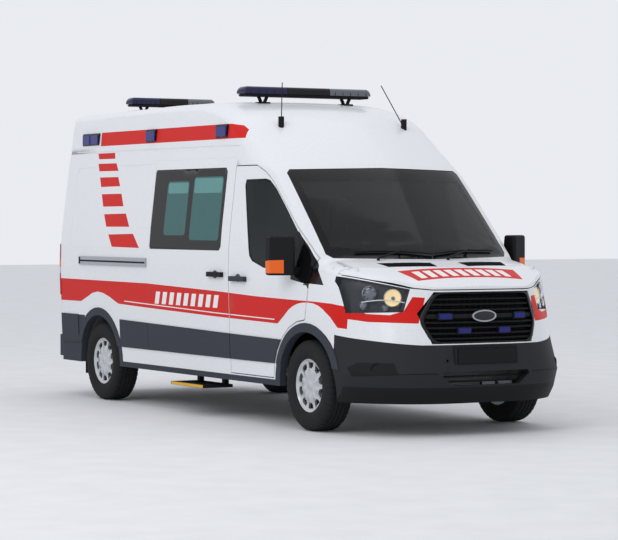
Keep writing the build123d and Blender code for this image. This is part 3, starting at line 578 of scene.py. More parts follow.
# CAD nodes that stay, with better surfaces
KEPT = {
    "floor": "under", "bulkhead": "cabin", "dashboard": "dash",
    "steering_wheel": "dash", "engine": "iron", "front_suspension": "chassis", "knuckle_right": "chassis",
    "knuckle_left": "chassis", "rear_axle": "chassis", "exhaust": "steel",
    "front_door_glass_right": "glass", "front_door_glass_left": "glass",
    "front_door_trim_right": "slate", "front_door_trim_left": "slate",
    "slide_rail": "rail", "side_mouldings": "slate",
    "side_step": "black", "mudflaps": "rubber", "rear_bumper": "slate",
    "rear_door_glass_right": "frit", "rear_door_glass_left": "frit", "rear_door_handle": "black",
    "antennas": "black", "number_plate": "black", "sliding_door_handle": "black",
    }
for node, look in KEPT.items():
    mesh = NODES[node].data
    mesh.materials.clear()
    mesh.materials.append(MAT[look])

# Grille
# Height, and how far the nose reaches at y = 0, 0.4 and 0.6
NOSE_ROWS = [(0.60, 0.995, 0.975, 0.900), (0.70, 0.990, 0.968, 0.888), (0.93, 0.985, 0.938, 0.820),
             (1.12, 0.968, 0.950, 0.790)]


def nose_reach(y, z):
    """How far ahead of the axle the nose reaches at a side and height."""
    for lower, upper in zip(NOSE_ROWS, NOSE_ROWS[1:]):
        if z <= upper[0] or upper is NOSE_ROWS[-1]:
            part = max(0.0, min(1.0, (z - lower[0]) / (upper[0] - lower[0])))
            mid, near, far = (lower[i] + (upper[i] - lower[i]) * part for i in (1, 2, 3))
            break
    d4, d6 = near - mid, far - mid
    c4 = (d6 - 2.25 * d4) / (0.1296 - 2.25 * 0.0256)
    c2 = (d4 - 0.0256 * c4) / 0.16
    return mid + c2 * y * y + c4 * y ** 4


def round_polygon(points, radius, count=6):
    """Outline with its corners rounded."""
    outline = []
    total = len(points)
    for i in range(total):
        before, here, after = (Vector(points[(i + k) % total]) for k in (-1, 0, 1))
        enter = here + (before - here).normalized() * radius
        leave = here + (after - here).normalized() * radius
        for j in range(count + 1):
            t = j / count
            outline.append(enter * (1 - t) ** 2 + here * 2 * t * (1 - t) + leave * t * t)
    return outline


grille_outline = round_polygon(
    [(-0.430, 1.086), (0.430, 1.086), (0.532, 0.870), (0.458, 0.703), (-0.458, 0.703), (-0.532, 0.870)], 0.055)
grille_middle = Vector((0.0, 0.895))


def grille_ring(inward, lift):
    row = []
    for point in grille_outline:
        spoke = point - grille_middle
        spot = point - spoke.normalized() * inward
        row.append((fx(nose_reach(spot.x, spot.y)) + lift, spot.x, spot.y))
    return row


RING_SECTION = ((0.0, -0.020), (0.001, -0.004), (0.008, 0.003), (0.026, 0.003), (0.032, -0.003), (0.034, -0.060),
                (0.0, -0.060))
frame_ring = grid([grille_ring(inward, lift) for inward, lift in RING_SECTION], close_u=True, close_v=True)
add("grille_frame", outward(frame_ring), "gloss_black", replaces=("grille",), sharp=50)

back = bmesh.new()
back.faces.new([back.verts.new((x - 0.006, y, z)) for x, y, z in grille_ring(0.020, -0.060)])
back_plate = bmesh.ops.extrude_face_region(back, geom=list(back.faces))
for item in back_plate["geom"]:
    if isinstance(item, bmesh.types.BMVert):
        item.co.x -= 0.006
add("grille_back", outward(back), "black", smooth=False)


def half_width(z):
    """Half width of the grille opening at a height."""
    widest = 0.0
    for a, b in zip(grille_outline, grille_outline[1:] + grille_outline[:1]):
        if (a.y - z) * (b.y - z) <= 0 and abs(a.y - b.y) > 1e-9:
            widest = max(widest, abs(a.x + (b.x - a.x) * (z - a.y) / (b.y - a.y)))
    return widest


def slat(z, tall, deep, set_back, trim=0.028):
    """One curved bar of the grille."""
    reach = half_width(z) - trim
    rows = []
    for i in range(25):
        y = -reach + 2 * reach * i / 24
        x = fx(nose_reach(y, z)) - set_back
        rows.append([
            (x - deep, y, z - tall / 2), (x - 0.004, y, z - tall / 2), (x, y, z - tall / 4), (x, y, z + tall / 6),
            (x - 0.007, y, z + tall / 2), (x - deep, y, z + tall / 2),
        ])
    bm = grid(rows, close_v=True)
    return capped(bm)


SLATS = (1.034, 0.994, 0.952, 0.858, 0.818, 0.776, 0.738)
add("grille_slats", join(*[slat(z, 0.017, 0.040, 0.010) for z in SLATS], slat(0.905, 0.034, 0.040, 0.012)),
    "black", sharp=40)
mesh_bars = []
for z in (1.052, 1.014, 0.973, 0.934, 0.879, 0.838, 0.797, 0.757, 0.722):
    mesh_bars.append(slat(z, 0.006, 0.012, 0.042))
for i in range(-9, 10):
    y = i * 0.050
    if abs(y) < 0.47:
        x = fx(nose_reach(y, 0.9)) - 0.052
        mesh_bars.append(block((x - 0.004, y - 0.003, 0.735), (x + 0.004, y + 0.003, 1.055)))
add("grille_mesh", join(*mesh_bars), "black", smooth=False)


OVAL_Z = 0.905


def ovals(sizes, count=48):
    """Rows of ovals round the middle of the grille: half width, half height, lift."""
    rows = []
    for half_y, half_z, lift in sizes:
        row = []
        for i in range(count):
            turn = 2 * math.pi * i / count
            y, z = half_y * math.cos(turn), OVAL_Z + half_z * math.sin(turn)
            row.append((fx(nose_reach(0, OVAL_Z)) + lift - y ** 2 * 0.5, y, z))
        rows.append(row)
    return grid(rows, close_v=True)


badge = ovals([(0.104, 0.041, -0.016), (0.110, 0.047, -0.004), (0.107, 0.044, 0.004), (0.097, 0.036, 0.004),
               (0.094, 0.033, 0.000)])
add("grille_oval", capped(badge), "rail", "body", sharp=40)
field = ovals([(0.094, 0.033, 0.001), (0.080, 0.026, 0.004), (0.040, 0.013, 0.006)])
add("grille_oval_field", capped(field), "bezel", sharp=40)

lamp_parts, lamp_rims = [], []
for y, z in ((-0.335, 0.905), (0.335, 0.905), (-0.180, 0.797), (0.180, 0.797)):
    x = fx(nose_reach(y, z)) - 0.010
    tilt = -0.35 * y
    outline = rounded(y - 0.054, y + 0.054, z - 0.019, z + 0.019, 0.010)
    lamp_parts.append(prism([(x + 0.004 + tilt * (p[0] - y), p[0], p[1]) for p in outline], (1, 0, 0), 0.012))
    outline = rounded(y - 0.062, y + 0.062, z - 0.026, z + 0.026, 0.013)
    lamp_rims.append(prism([(x - 0.012 + tilt * (p[0] - y), p[0], p[1]) for p in outline], (1, 0, 0), 0.020))
for part in lamp_parts + lamp_rims:
    bevel(part, 0.003, 2)
add("grille_lamps", join(*lamp_parts), "blue", "body")
add("grille_lamp_rims", join(*lamp_rims), "gloss_black")

# Headlamps
shell = bmesh.new()
shell.from_mesh(NODES["headlamps"].data)
bmesh.ops.remove_doubles(shell, verts=shell.verts, dist=1e-5)
shell.normal_update()
for face in shell.faces:
    out = Vector((0.72, math.copysign(0.62, face.calc_center_median().y), 0.30)).normalized()
    face.material_index = 1 if face.normal.dot(out) > 0.35 else 0
add("headlamp_shell", shell, ["bezel", "lens"], "body", replaces=("headlamps",), sharp=30)
lamp_tree = tree_of("headlamps")

# Lamp sections: how far along the axis, and the share of the lamp's radius
LAMP_RING = ((0.0, 0.82), (0.030, 1.0), (0.036, 1.10), (0.028, 1.16), (0.0, 1.10))
LAMP_LENS = ((0.0, 0.82), (0.020, 0.74), (0.030, 0.5), (0.034, 0.0))
LAMP_BOWL = ((-0.004, 0.0), (0.002, 0.45), (0.016, 0.80), (0.030, 0.98), (0.012, 0.98), (-0.012, 0.4),
             (-0.014, 0.0))
LAMP_BULB = ((0.0, 0.22), (0.018, 0.20), (0.024, 0.1), (0.025, 0.0))


def scaled(section, size):
    return [(along, share * size) for along, share in section]


rings, lenses, bowls, strips = [], [], [], []
for side in (RIGHT, LEFT):
    out = Vector((0.76, side * 0.62, 0.16)).normalized()
    for z, y, size, kind in ((1.078, 0.795, 0.050, "projector"), (1.045, 0.668, 0.062, "bowl"),
                             (0.985, 0.832, 0.030, "small"), (0.972, 0.716, 0.026, "small")):
        face_point = on_front(lamp_tree, side * y, z)
        centre = face_point - out * 0.050
        rings.append(turned(scaled(LAMP_RING, size), centre, out, 40))
        if kind == "bowl":
            bowls.append(turned(scaled(LAMP_BOWL, size), centre, out, 40))
            lenses.append(turned(scaled(LAMP_BULB, size), centre, out, 24))
        else:
            lenses.append(turned(scaled(LAMP_LENS, size), centre, out, 40))
    line = []
    for k in range(9):
        y = 0.600 + 0.240 * k / 8
        spot = on_front(lamp_tree, side * y, 1.010 + 0.018 * math.sin(k / 8 * 3.1))
        if spot is not None:
            line.append(spot - out * 0.018)
    strips.append(rod(line, 0.005, 8))
add("headlamp_rings", join(*rings), "chrome", "body")
add("headlamp_projectors", join(*lenses), "projector", "body")
add("headlamp_bowls", join(*bowls), "lit", "body")
add("headlamp_strips", join(*strips), "clear_lens", "body")

# Bumper details
fog_scoops = mirrored_y([[(0.700, 0.475), (0.935, 0.455), (0.945, 0.520), (0.900, 0.560), (0.715, 0.560)]], 1)
fog_scoops += mirrored_y(fog_scoops, -1)
number_panel = [[(-0.290, 0.545), (0.290, 0.545), (0.290, 0.684), (-0.290, 0.684)]]
foot_panel = [[(-0.95, 0.24), (0.95, 0.24), (0.95, 0.375), (-0.95, 0.375)]]
jobs = [(fog_scoops, "x", 1, nose), (number_panel, "x", 1, nose), (foot_panel, "x", 1, nose)]
painted("front_bumper", jobs, "body", ("charcoal", "black", "gloss_black"))
nose_tree = tree_of("front_bumper")
fogs, fog_rims, ribs = [], [], []
for side in (RIGHT, LEFT):
    spot = on_front(nose_tree, side * 0.815, 0.512)
    out = Vector((0.80, side * 0.58, 0.0)).normalized()
    centre = spot - out * 0.022
    fog_rims.append(turned([(-0.012, 0.050), (0.014, 0.050), (0.017, 0.046), (0.015, 0.040), (0.0, 0.036),
                            (-0.012, 0.036)], centre, out, 36))
    fogs.append(turned([(-0.010, 0.037), (0.008, 0.037), (0.012, 0.028), (0.014, 0.0)], centre, out, 36))
for z in (0.566, 0.600, 0.634, 0.668):
    line = [on_front(nose_tree, -0.27 + 0.54 * k / 12, z) for k in range(13)]
    ribs.append(rod([p for p in line if p is not None], 0.0035, 8))
for z in (0.375, 0.415, 0.452):
    line = []
    for k in range(17):
        y = -0.36 + 0.72 * k / 16
        line.append((fx(0.985 - 0.16 * y * y - 0.02), y, z))
    ribs.append(rod(line, 0.007, 8))
for sign in (-1, 1):
    line = [on_front(nose_tree, sign * (0.30 + 0.50 * k / 12), 0.470 + 0.010 * math.sin(k / 12 * 3.1))
            for k in range(13)]
    ribs.append(rod([p for p in line if p is not None], 0.004, 8))
add("fog_lamp_rims", join(*fog_rims), "black")
add("fog_lamps", join(*fogs), "projector", "body")
add("bumper_ribs", join(*ribs), "black", "body")

# Wheels
TYRE_IN, TYRE_OUT = 0.7605, 0.9855


def tyre_mesh(centre_x, side):
    """Tyre with sidewall, shoulder blocks and four grooves round the tread."""
    half = (TYRE_OUT - TYRE_IN) / 2
    mid = (TYRE_OUT + TYRE_IN) / 2
    wall = [(-0.86, 0.214), (-0.93, 0.226), (-0.99, 0.256), (-1.0, 0.285), (-0.97, 0.312), (-0.90, 0.333)]
    tread = [(-0.80, 0.3455), (-0.70, 0.3495), (-0.52, 0.3510), (-0.50, 0.3430), (-0.45, 0.3430), (-0.43, 0.3515),
             (-0.20, 0.3520), (-0.18, 0.3430), (-0.13, 0.3430), (-0.11, 0.3520)]
    section = wall + tread
    section += [(-u, r) for u, r in reversed(section)] + [(0.82, 0.206), (-0.82, 0.206)]
    count = 180
    rows = []
    for i in range(count):
        turn = 2 * math.pi * i / count
        cut = i % 4 == 0
        row = []
        for u, r in section:
            if cut and 0.50 < abs(u) < 0.92 and r > 0.32:
                r -= 0.0075
            if i % 6 == 3 and abs(u) < 0.44 and r > 0.350:
                r -= 0.0045
            row.append((centre_x + r * math.cos(turn), side * (mid + u * half), AXLE_Z + r * math.sin(turn)))
        rows.append(row)
    bm = grid(rows, close_u=True, close_v=True)
    return outward(bm)


def cover_mesh(centre_x, side):
    """Silver wheel face with ten windows round a plain domed centre."""
    count, windows = 120, 10
    step = count // windows
    profile = [(0.0, 0.957), (0.022, 0.957), (0.030, 0.953), (0.048, 0.951), (0.075, 0.955), (0.105, 0.957),
               (0.122, 0.952), (0.134, 0.949), (0.146, 0.948), (0.180, 0.948), (0.192, 0.952), (0.202, 0.960),
               (0.209, 0.964), (0.2135, 0.963)]
    rows = []
    for r, y in profile:
        row = []
        for i in range(count):
            turn = 2 * math.pi * i / count
            spoke = 0.004 * math.cos(windows * turn + math.pi) if 0.10 < r < 0.195 else 0.0
            row.append((centre_x + r * math.cos(turn), side * (y + spoke), AXLE_Z + r * math.sin(turn)))
        rows.append(row)
    bm = grid(rows, close_v=True)
    bmesh.ops.remove_doubles(bm, verts=bm.verts, dist=1e-6)
    gone = []
    for face in bm.faces:
        spot = face.calc_center_median()
        r = math.hypot(spot.x - centre_x, spot.z - AXLE_Z)
        index = (math.atan2(spot.z - AXLE_Z, spot.x - centre_x) % (2 * math.pi)) / (2 * math.pi) * count
        along = index % step
        if 0.134 < r < 0.180 and 2.0 < along < 10.0:
            if not (r < 0.1460 and (along < 3.0 or along > 9.0)):
                gone.append(face)
    bmesh.ops.delete(bm, geom=gone, context="FACES")
    edges = [e for e in bm.edges if e.is_boundary]
    grown = bmesh.ops.extrude_edge_only(bm, edges=edges)
    for item in grown["geom"]:
        if isinstance(item, bmesh.types.BMVert):
            item.co.y -= side * 0.022
    return outward(bm)


BARREL = [(0.775, 0.200), (0.775, 0.2135), (0.800, 0.206), (0.940, 0.206), (0.955, 0.2100), (0.955, 0.2045),
          (0.925, 0.198), (0.800, 0.196)]
DARK_PLATE = [(0.930, 0.0), (0.930, 0.188), (0.918, 0.192), (0.918, 0.0)]
BOLT = [(0.948, 0.006), (0.9585, 0.006), (0.960, 0.0045), (0.960, 0.0)]
BOLT_CIRCLE = 0.118
for place, centre_x in (("front", FRONT_AXLE), ("rear", REAR_AXLE)):
    for side, name in SIDES:
        corner = "%s_%s" % (place, name)
        body = "wheel_" + corner
        centre, axis = (centre_x, 0, AXLE_Z), (0, side, 0)
        add("tyre_%s_tread" % corner, tyre_mesh(centre_x, side), "tyre", body,
            replaces=("tyre_" + corner,), sharp=38)
        add(body + "_face", cover_mesh(centre_x, side), "silver", body,
            replaces=("rim_" + corner,), sharp=35)
        add(body + "_barrel", turned(BARREL, centre, axis, 64), "rail", body)
        add(body + "_plate", turned(DARK_PLATE, centre, axis, 48), "black", body)
        bolts = []
        for k in range(10):
            turn = 2 * math.pi * (k + 0.5) / 10
            spot = (centre_x + BOLT_CIRCLE * math.cos(turn), 0, AXLE_Z + BOLT_CIRCLE * math.sin(turn))
            bolts.append(turned(BOLT, spot, axis, 10))
        add(body + "_bolts", join(*bolts), "rail", body)

# Mirrors
for side, name in SIDES:
    door = "front_door_" + name
    rear_out, rear_in = Vector((fx(-0.2965), 1.168, 0)), Vector((fx(-0.2515), 1.022, 0))
    glass = []
    for u, z in rounded(0.0, 1.0, 1.232, 1.470, 0.05):
        spot = rear_in + (rear_out - rear_in) * min(1.0, max(0.0, u))
        glass.append((spot.x - 0.003, side * (spot.y - 0.001), z))
    glass_piece = prism(glass, (-0.964, -0.272 * side, 0), 0.004)
    add("mirror_glass_" + name, glass_piece, "mirror", door, sharp=40)
    patch = [(fx(a), z) for a, z in ((-0.315, 1.215), (-0.315, 1.300), (-0.255, 1.312), (-0.150, 1.318),
                                     (-0.150, 1.215))]
    jobs = [([patch], "y", 1, lambda face, side=side: side * face.normal.y + face.normal.x > 0.35)]
    painted("mirror_" + name, jobs, door, ("black", "orange"), 50.0)

# Wipers and cowl
screen_tree = tree_of("windscreen", "cowl", "hood")
wiper_parts = []
for y_pivot, y0, y1, z0, z1 in ((-0.50, -0.62, 0.02, 1.372, 1.352), (0.10, 0.04, 0.66, 1.356, 1.372)):
    blade = []
    for k in range(13):
        t = k / 12
        spot = on_front(screen_tree, y0 + (y1 - y0) * t, z0 + (z1 - z0) * t + 0.012 * math.sin(math.pi * t))
        if spot is not None:
            blade.append(spot + Vector((0.012, 0, 0.010)))
    wiper_parts.append(rod(blade, 0.007, 8))
    foot = on_top(screen_tree, fx(0.325) - 0.25 * y_pivot ** 2, y_pivot)
    arm = [foot + Vector((0, 0, 0.004)), foot + Vector((-0.02, 0.02, 0.022)), blade[7] + Vector((0.010, 0, 0.008))]
    wiper_parts.append(rod(arm, [0.013, 0.010, 0.006], 8))
add("wipers", join(*wiper_parts), "black")
grooves = []
cowl_tree = tree_of("cowl", "hood")
for side in (RIGHT, LEFT):
    for k in range(1, 7):
        t = k / 7
        start = on_top(cowl_tree, fx(0.352 + 0.126 * t), side * (0.565 - 0.030 * t), 0.0015)
        end = on_top(cowl_tree, fx(0.415 + 0.133 * t), side * (0.130 + 0.015 * t), 0.0015)
        middle = on_top(cowl_tree, (start.x + end.x) / 2, (start.y + end.y) / 2, 0.0015)
        grooves.append(rod([start, middle, end], 0.003, 6))
add("cowl_grooves", join(*grooves), "black")

# Roof light bars
def light_bar(tag):
    """Tray on four struts with a clear, a dark and a blue lens."""
    low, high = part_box(tag)
    x0, x1, half, top = low[0], high[0], high[1], high[2]
    base = top - 0.082
    tray = block((x0 + 0.004, -half + 0.012, base), (x1 - 0.004, half - 0.012, base + 0.024), 0.008, 2)
    brackets = []
    for y in (-0.66 * half, 0.66 * half):
        for lean in (-1, 1):
            x, foot, head = x0 + 0.05 + 0.04 * (lean > 0), base - 0.060, base + 0.004
            shift = 0.03 * lean
            brackets.append(prism([(x, y - 0.012, foot), (x, y + 0.012, foot), (x, y + 0.012 + shift, head),
                                   (x, y - 0.012 + shift, head)], (1, 0, 0), 0.022))
        brackets.append(block((x0 + 0.03, y - 0.05, base - 0.062), (x1 - 0.03, y + 0.05, base - 0.045), 0.003))
    add(tag + "_tray", join(tray, *brackets), "black", replaces=(tag,))

    def cover(y0, y1, round_low, round_high):
        """Lens between two stations, rounded down at its free end."""
        rows = []
        mid = (x0 + x1) / 2
        inner = [y0 + (y1 - y0) * k / 8 for k in range(1, 8)]
        for y in [y0, y0 + 0.012, y0 + 0.03] + inner + [y1 - 0.03, y1 - 0.012, y1]:
            ease = 1.0
            if round_low:
                ease = min(ease, 0.55 + 0.45 * math.sqrt(min(1.0, (y - y0) / 0.03)))
            if round_high:
                ease = min(ease, 0.55 + 0.45 * math.sqrt(min(1.0, (y1 - y) / 0.03)))
            w = (x1 - x0) / 2 * (0.86 + 0.14 * ease)
            h0 = base + 0.022
            rise = (top - h0) * ease
            half_row = [(-w, h0), (-w, h0 + rise * 0.55), (-w * 0.90, h0 + rise * 0.88), (-w * 0.72, h0 + rise)]
            full_row = half_row + [(-x, z) for x, z in reversed(half_row)]
            rows.append([(mid + x, y, z) for x, z in full_row])
        bm = grid(rows, close_v=True)
        return capped(bm)

    split = half * 0.34
    right, left = cover(-half + 0.001, -split, True, False), cover(split, half - 0.001, False, True)
    add(tag + "_lens_right", right, "blue_dark", "body", sharp=45)
    add(tag + "_lens_left", left, "smoke", "body", sharp=45)
    add(tag + "_centre", cover(-split + 0.004, split - 0.004, False, False), "gloss_black", sharp=45)
    ribs = []
    for side in (-1, 1):
        for k in range(5):
            y = side * (split + 0.05 + k * (half - split - 0.10) / 4)
            for a, b in ((x0 - 0.0005, x0 + 0.012), (x1 - 0.012, x1 + 0.0005)):
                ribs.append(block((a, y - 0.003, base + 0.024), (b, y + 0.003, base + 0.050)))
    add(tag + "_ribs", join(*ribs), "black", smooth=False)


light_bar("lightbar_front")
light_bar("lightbar_rear")

# Marker lamps: blue lens in a black frame
frames, covers = [], []
MARKERS = ((-4.290, -3.930, (-4.114, -4.106)), (-2.960, -2.760, ()), (-1.640, -1.430, ()))
for side in (RIGHT, LEFT):
    frame_y = sorted((side * 0.870, side * 0.9215))
    lens_y = sorted((side * 0.880, side * 0.930))
    for a0, a1, split in MARKERS:
        frames.append(block((fx(a0), frame_y[0], 2.296), (fx(a1), frame_y[1], 2.412), 0.006))
        ends = [a0 + 0.010, *split, a1 - 0.010]
        for b0, b1 in zip(ends[::2], ends[1::2]):
            covers.append(block((fx(b0), lens_y[0], 2.304), (fx(b1), lens_y[1], 2.404), 0.010, 3))
add("marker_frames", join(*frames), "gloss_black", replaces=("marker_lights",))
add("marker_lenses", join(*covers), "blue", "body", sharp=50)

# Side details
SIDE_TREES = {
    RIGHT: tree_of("body_side_right", "sliding_door", "front_door_right", "front_wings", "roof"),
    LEFT: tree_of("body_side_left", "front_door_left", "front_wings", "roof"),
}


def bead(points, side, radius, lift):
    """Thin line that follows the body side."""
    stations = []
    for (a0, z0), (a1, z1) in zip(points, points[1:]):
        steps = max(2, int(math.hypot(a1 - a0, z1 - z0) / 0.08))
        stations += [(a0 + (a1 - a0) * k / steps, z0 + (z1 - z0) * k / steps) for k in range(steps)]
    stations.append(points[-1])
    line = [on_side(SIDE_TREES[side], fx(a), z, side, lift) for a, z in stations]
    return rod([spot for spot in line if spot is not None], radius, 8)


press = [(-4.16, 1.36), (-4.335, 1.40), (-4.350, 1.50), (-4.338, 2.02), (-4.325, 2.075), (-4.27, 2.100),
         (-3.95, 2.103)]
press_front = [(-3.45, 2.107), (-2.79, 2.108)]
drip = [(-4.40, 2.247), (-2.75, 2.243), (-1.60, 2.240), (-1.20, 2.236)]
beads = []
for side in (RIGHT, LEFT):
    for path, radius in ((press, 0.0045), (press_front, 0.0045), (drip, 0.005)):
        beads.append(bead(path, side, radius, -0.0015))
add("side_pressings", join(*beads), "white", "body", sharp=60)

rail_cut = block((-2.218, -1.0375, 1.2465), (-0.848, -1.034, 1.262), 0.001)
rail_end = block((-2.2275, -1.0380, 1.222), (-2.190, -1.030, 1.290), 0.004)
add("rail_slot", join(rail_cut, rail_end), "black", "body")

# Flat dark grey ovals behind the door handles: painted shade of the handle recesses.
RECESS_SHADE = [(0.0, 0.046), (0.0012, 0.046), (0.0016, 0.042), (0.0010, 0.034), (0.0004, 0.0)]
for a, z, side, label, body in ((-1.4400, 1.180, RIGHT, "slide", "body"),
                                (-1.0425, 1.160, RIGHT, "right", "front_door_right"),
                                (-1.0425, 1.160, LEFT, "left", "front_door_left")):
    spot = on_side(SIDE_TREES[side], fx(a), z - 0.06, side)
    recess_shade = turned(RECESS_SHADE, (fx(a - 0.015), spot.y, z), (0, side, 0), 36)
    for vert in recess_shade.verts:
        vert.co.z = z + (vert.co.z - z) * 0.72
    add("handle_recess_shade_" + label, recess_shade, "seam", body, sharp=50)

step_low, step_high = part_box("side_step")
edge = block((step_low[0] + 0.01, step_low[1] - 0.0005, step_low[2] + 0.001),
             (step_high[0] - 0.01, step_low[1] + 0.006, step_low[2] + 0.026), 0.001)
grip = [edge]
for k in range(22):
    x = step_low[0] + 0.03 + k * (step_high[0] - step_low[0] - 0.06) / 21
    grip.append(block((x - 0.003, step_low[1] - 0.002, step_low[2] + 0.005),
                      (x + 0.003, step_low[1] + 0.006, step_low[2] + 0.022)))
add("side_step_edge", join(*grip), "yellow", smooth=False)

# Rear details
lamp_bands = []
for z0, z1, index in ((1.130, 1.190, 1), (1.196, 1.262, 2)):
    lamp_bands.append(([[(-1.2, z0), (1.2, z0), (1.2, z1), (-1.2, z1)]], "x", index, every_face))
painted("tail_lamps", lamp_bands, "body", ("red_lens", "clear_lens", "orange", "black"))
door_tree = {name: tree_of("rear_door_" + name) for name in ("right", "left")}
for side, name in SIDES:
    body = "rear_door_" + name
    glass_low, glass_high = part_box("rear_door_glass_" + name)
    seal = []
    outline = rounded(glass_low[1] - 0.006, glass_high[1] + 0.006, glass_low[2] - 0.006, glass_high[2] + 0.006,
                      0.05, 6)
    for y, z in outline + outline[:1]:
        spot = on_rear(door_tree[name], max(glass_low[1] - 0.012, min(glass_high[1] + 0.012, y)), z)
        x = spot.x if spot is not None and spot.x < glass_low[0] + 0.03 else glass_low[0]
        seal.append((min(x, glass_low[0] + 0.002), y, z))
    add("rear_window_seal_" + name, rod(seal, 0.007, 8), "rubber", body)
    outline = rounded(0.10, 0.74, 1.135, 1.36, 0.04)
    panel = [on_rear(door_tree[name], side * y, z) for y, z in outline + outline[:1]]
    panel = [spot + Vector((0.0015, 0, 0)) for spot in panel if spot is not None]
    add("rear_pressing_" + name, rod(panel, 0.004, 6), "white", body, sharp=60)

plate_at = on_rear(door_tree["right"], -0.44, 0.72)
plate = block((plate_at.x - 0.007, -0.700, 0.665), (plate_at.x + 0.004, -0.180, 0.775), 0.002)
add("rear_plate_blank", plate, "plate", "rear_door_right")
lamp_bar = block((plate_at.x - 0.024, -0.600, 0.792), (plate_at.x + 0.004, -0.280, 0.822), 0.006)
add("rear_plate_lamp", lamp_bar, "black", "rear_door_right")
stop_at = on_rear(tree_of("roof"), 0.0, 2.33)
stop = block((stop_at.x - 0.012, -0.170, 2.312), (stop_at.x + 0.010, 0.170, 2.346), 0.006)
add("high_stop_lamp", stop, "red_lens", "body")
bumper_low, bumper_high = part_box("rear_bumper")
treads = []
for k in range(9):
    x = bumper_low[0] + 0.030 + k * 0.013
    treads.append(block((x - 0.002, -0.80, bumper_high[2] - 0.001), (x + 0.002, 0.80, bumper_high[2] + 0.003)))
add("rear_bumper_tread", join(*treads), "rubber", "body", smooth=False)

# Fuel flap
flap = bead([(-3.05, 1.20), (-3.05, 1.36), (-2.88, 1.36), (-2.88, 1.20), (-3.05, 1.20)], LEFT, 0.003, -0.001)
add("fuel_flap_line", flap, "seam", "body")

# Seats and cabin
def cushion(low, high, crown):
    """Crowned pad with pulled-in sides, by subdivision."""
    (x0, y0, z0), (x1, y1, z1) = low, high
    bm = bmesh.new()
    made = {}
    nx, ny, nz = 5, 5, 3
    for i in range(nx + 1):
        for j in range(ny + 1):
            for k in range(nz + 1):
                if i in (0, nx) or j in (0, ny) or k in (0, nz):
                    u, v, w = i / nx * 2 - 1, j / ny * 2 - 1, k / nz * 2 - 1
                    pull_x = 1 - 0.05 * (1 - v * v) * abs(u) - 0.06 * w * w
                    pull_y = 1 - 0.05 * (1 - u * u) * abs(v) - 0.06 * w * w
                    pull_z = 1 - crown * (u * u + v * v) / 2 * (1 if w > 0 else 0.15)
                    x = (x0 + x1) / 2 + u * (x1 - x0) / 2 * pull_x
                    y = (y0 + y1) / 2 + v * (y1 - y0) / 2 * pull_y
                    z = (z0 + z1) / 2 + w * (z1 - z0) / 2 * pull_z
                    made[i, j, k] = bm.verts.new((x, y, z))
    cells = (nx, ny, nz)
    for first, second, ends in ((0, 1, 2), (0, 2, 1), (1, 2, 0)):
        for p in range(cells[first]):
            for q in range(cells[second]):
                for end in (0, cells[ends]):
                    loop = []
                    for step_p, step_q in ((0, 0), (1, 0), (1, 1), (0, 1)):
                        key = [end, end, end]
                        key[first], key[second] = p + step_p, q + step_q
                        loop.append(made[tuple(key)])
                    bm.faces.new(loop)
    return outward(bm)


def pad(name, low, high, crown, replaces=()):
    """Padded seat piece: a crowned form, subdivided and rounded by a subdivision modifier."""
    bm = cushion(low, high, crown)
    bmesh.ops.subdivide_edges(bm, edges=bm.edges, cuts=1, use_grid_fill=True, smooth=0.6)
    made = add(name, bm, "fabric", "body", replaces=replaces, sharp=180)
    soft = made.modifiers.new("round", "SUBSURF")
    soft.levels = soft.render_levels = 1
    return made


seat_low, seat_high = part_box("cab_seats")
SEAT_Y = ((0.18, 0.66, "driver"), (-0.66, -0.20, "outer"), (-0.185, 0.150, "middle"))
seat_x = seat_low[0]
boxes = []
for y0, y1, tag in SEAT_Y:
    mid = (y0 + y1) / 2
    gone = ("cab_seats",) if tag == "driver" else ()
    pad("seat_base_" + tag, (seat_x + 0.08, y0, 0.83), (seat_high[0] - 0.01, y1, 0.975), 0.12, gone)
    pad("seat_back_" + tag, (seat_x + 0.075, y0 + 0.01, 0.955), (seat_x + 0.195, y1 - 0.01, 1.56), 0.10)
    pad("seat_head_" + tag, (seat_x + 0.085, mid - 0.115, 1.60), (seat_x + 0.175, mid + 0.115, 1.785), 0.12)
    boxes.append(block((seat_x + 0.12, y0 + 0.03, 0.562), (seat_high[0] - 0.06, y1 - 0.03, 0.835), 0.012))
    for y in (mid - 0.05, mid + 0.05):
        boxes.append(rod([(seat_x + 0.13, y, 1.54), (seat_x + 0.13, y, 1.63)], 0.006, 8))
add("seat_boxes", join(*boxes), "dash", "body")

dash_low, dash_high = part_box("dashboard")
dash_x, dash_z = dash_low[0], dash_high[2]
cluster = block((dash_x + 0.02, 0.29, dash_z - 0.02), (dash_x + 0.16, 0.56, dash_z - 0.001), 0.010)
radio = block((dash_x - 0.002, -0.12, 0.98), (dash_x + 0.02, 0.12, 1.12), 0.006)
KNOB = [(0.0, 0.017), (0.022, 0.015), (0.024, 0.012), (0.024, 0.0)]
knobs = [turned(KNOB, (dash_x, y, 0.935), (-1, 0, 0), 20) for y in (-0.075, 0.0, 0.075)]
add("dash_details", join(cluster, radio, *knobs), "gloss_black", "body")

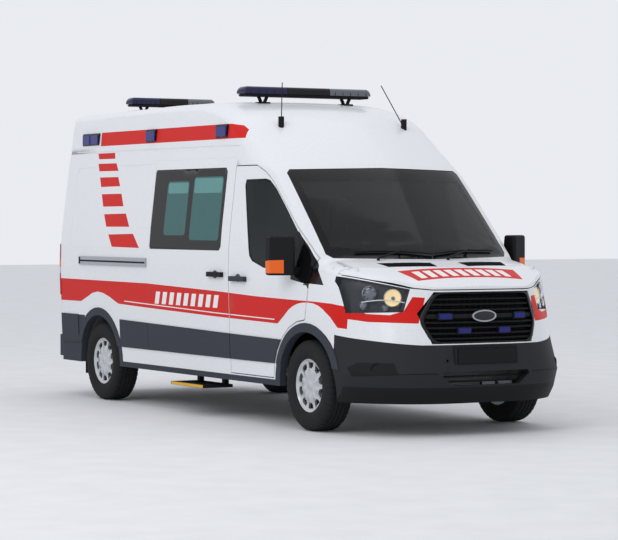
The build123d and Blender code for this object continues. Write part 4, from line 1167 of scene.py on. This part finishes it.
inner_mirror = block((fx(-0.545), -0.120, 1.870), (fx(-0.520), 0.120, 1.935), 0.010)
stalk = rod([(fx(-0.52), 0, 1.92), (fx(-0.475), 0, 1.965)], 0.010, 8)
add("inner_mirror", join(inner_mirror, stalk), "black", "body")
sun_pads = [block((fx(-0.640), y - 0.20, 1.975), (fx(-0.540), y + 0.20, 1.990), 0.006) for y in (-0.42, 0.42)]
add("sun_visors", join(*sun_pads), "cabin", "body")

# Camera, light and floor
target = Vector((fx(-1.69), 0.0, 1.20))
turn, rise, reach = math.radians(60.30), math.radians(1.24), 20.69
camera_data = bpy.data.cameras.new("camera")
camera = bpy.data.objects.new("camera", camera_data)
scene.collection.objects.link(camera)
camera_data.lens = 141.9
camera_data.sensor_width = 36.0
camera_data.clip_end = 500.0
offset = Vector((math.sin(turn) * math.cos(rise), -math.cos(turn) * math.cos(rise), math.sin(rise))) * reach
camera.location = target + offset
camera.rotation_euler = (-offset).to_track_quat("-Z", "Y").to_euler()
scene.camera = camera
scene.view_settings.view_transform = "Standard"

world = bpy.data.worlds.new("studio")
scene.world = world
world.use_nodes = True
world.node_tree.nodes["Background"].inputs["Color"].default_value = (0.93, 0.95, 1.0, 1)
world.node_tree.nodes["Background"].inputs["Strength"].default_value = 0.88


def area_light(name, place, aim, size, power):
    data = bpy.data.lights.new(name, "AREA")
    data.shape = "RECTANGLE"
    data.size, data.size_y = size
    data.energy = power
    lamp = bpy.data.objects.new(name, data)
    scene.collection.objects.link(lamp)
    lamp.location = place
    lamp.rotation_euler = (Vector(aim) - Vector(place)).to_track_quat("-Z", "Y").to_euler()


area_light("key", (6, -12, 9), (0, 0, 1), (8, 6), 460)
area_light("top", (-1, 0, 9), (0, 0, 1), (10, 6), 90)

mesh = bpy.data.meshes.new("floor")
mesh.from_pydata([(-60, -60, 0), (60, -60, 0), (60, 60, 0), (-60, 60, 0)], [], [(0, 1, 2, 3)])
ground = bpy.data.objects.new("ground", mesh)
scene.collection.objects.link(ground)
mesh.materials.append(material("studio_floor", (0.74, 0.745, 0.755), 0.8, grain=3))
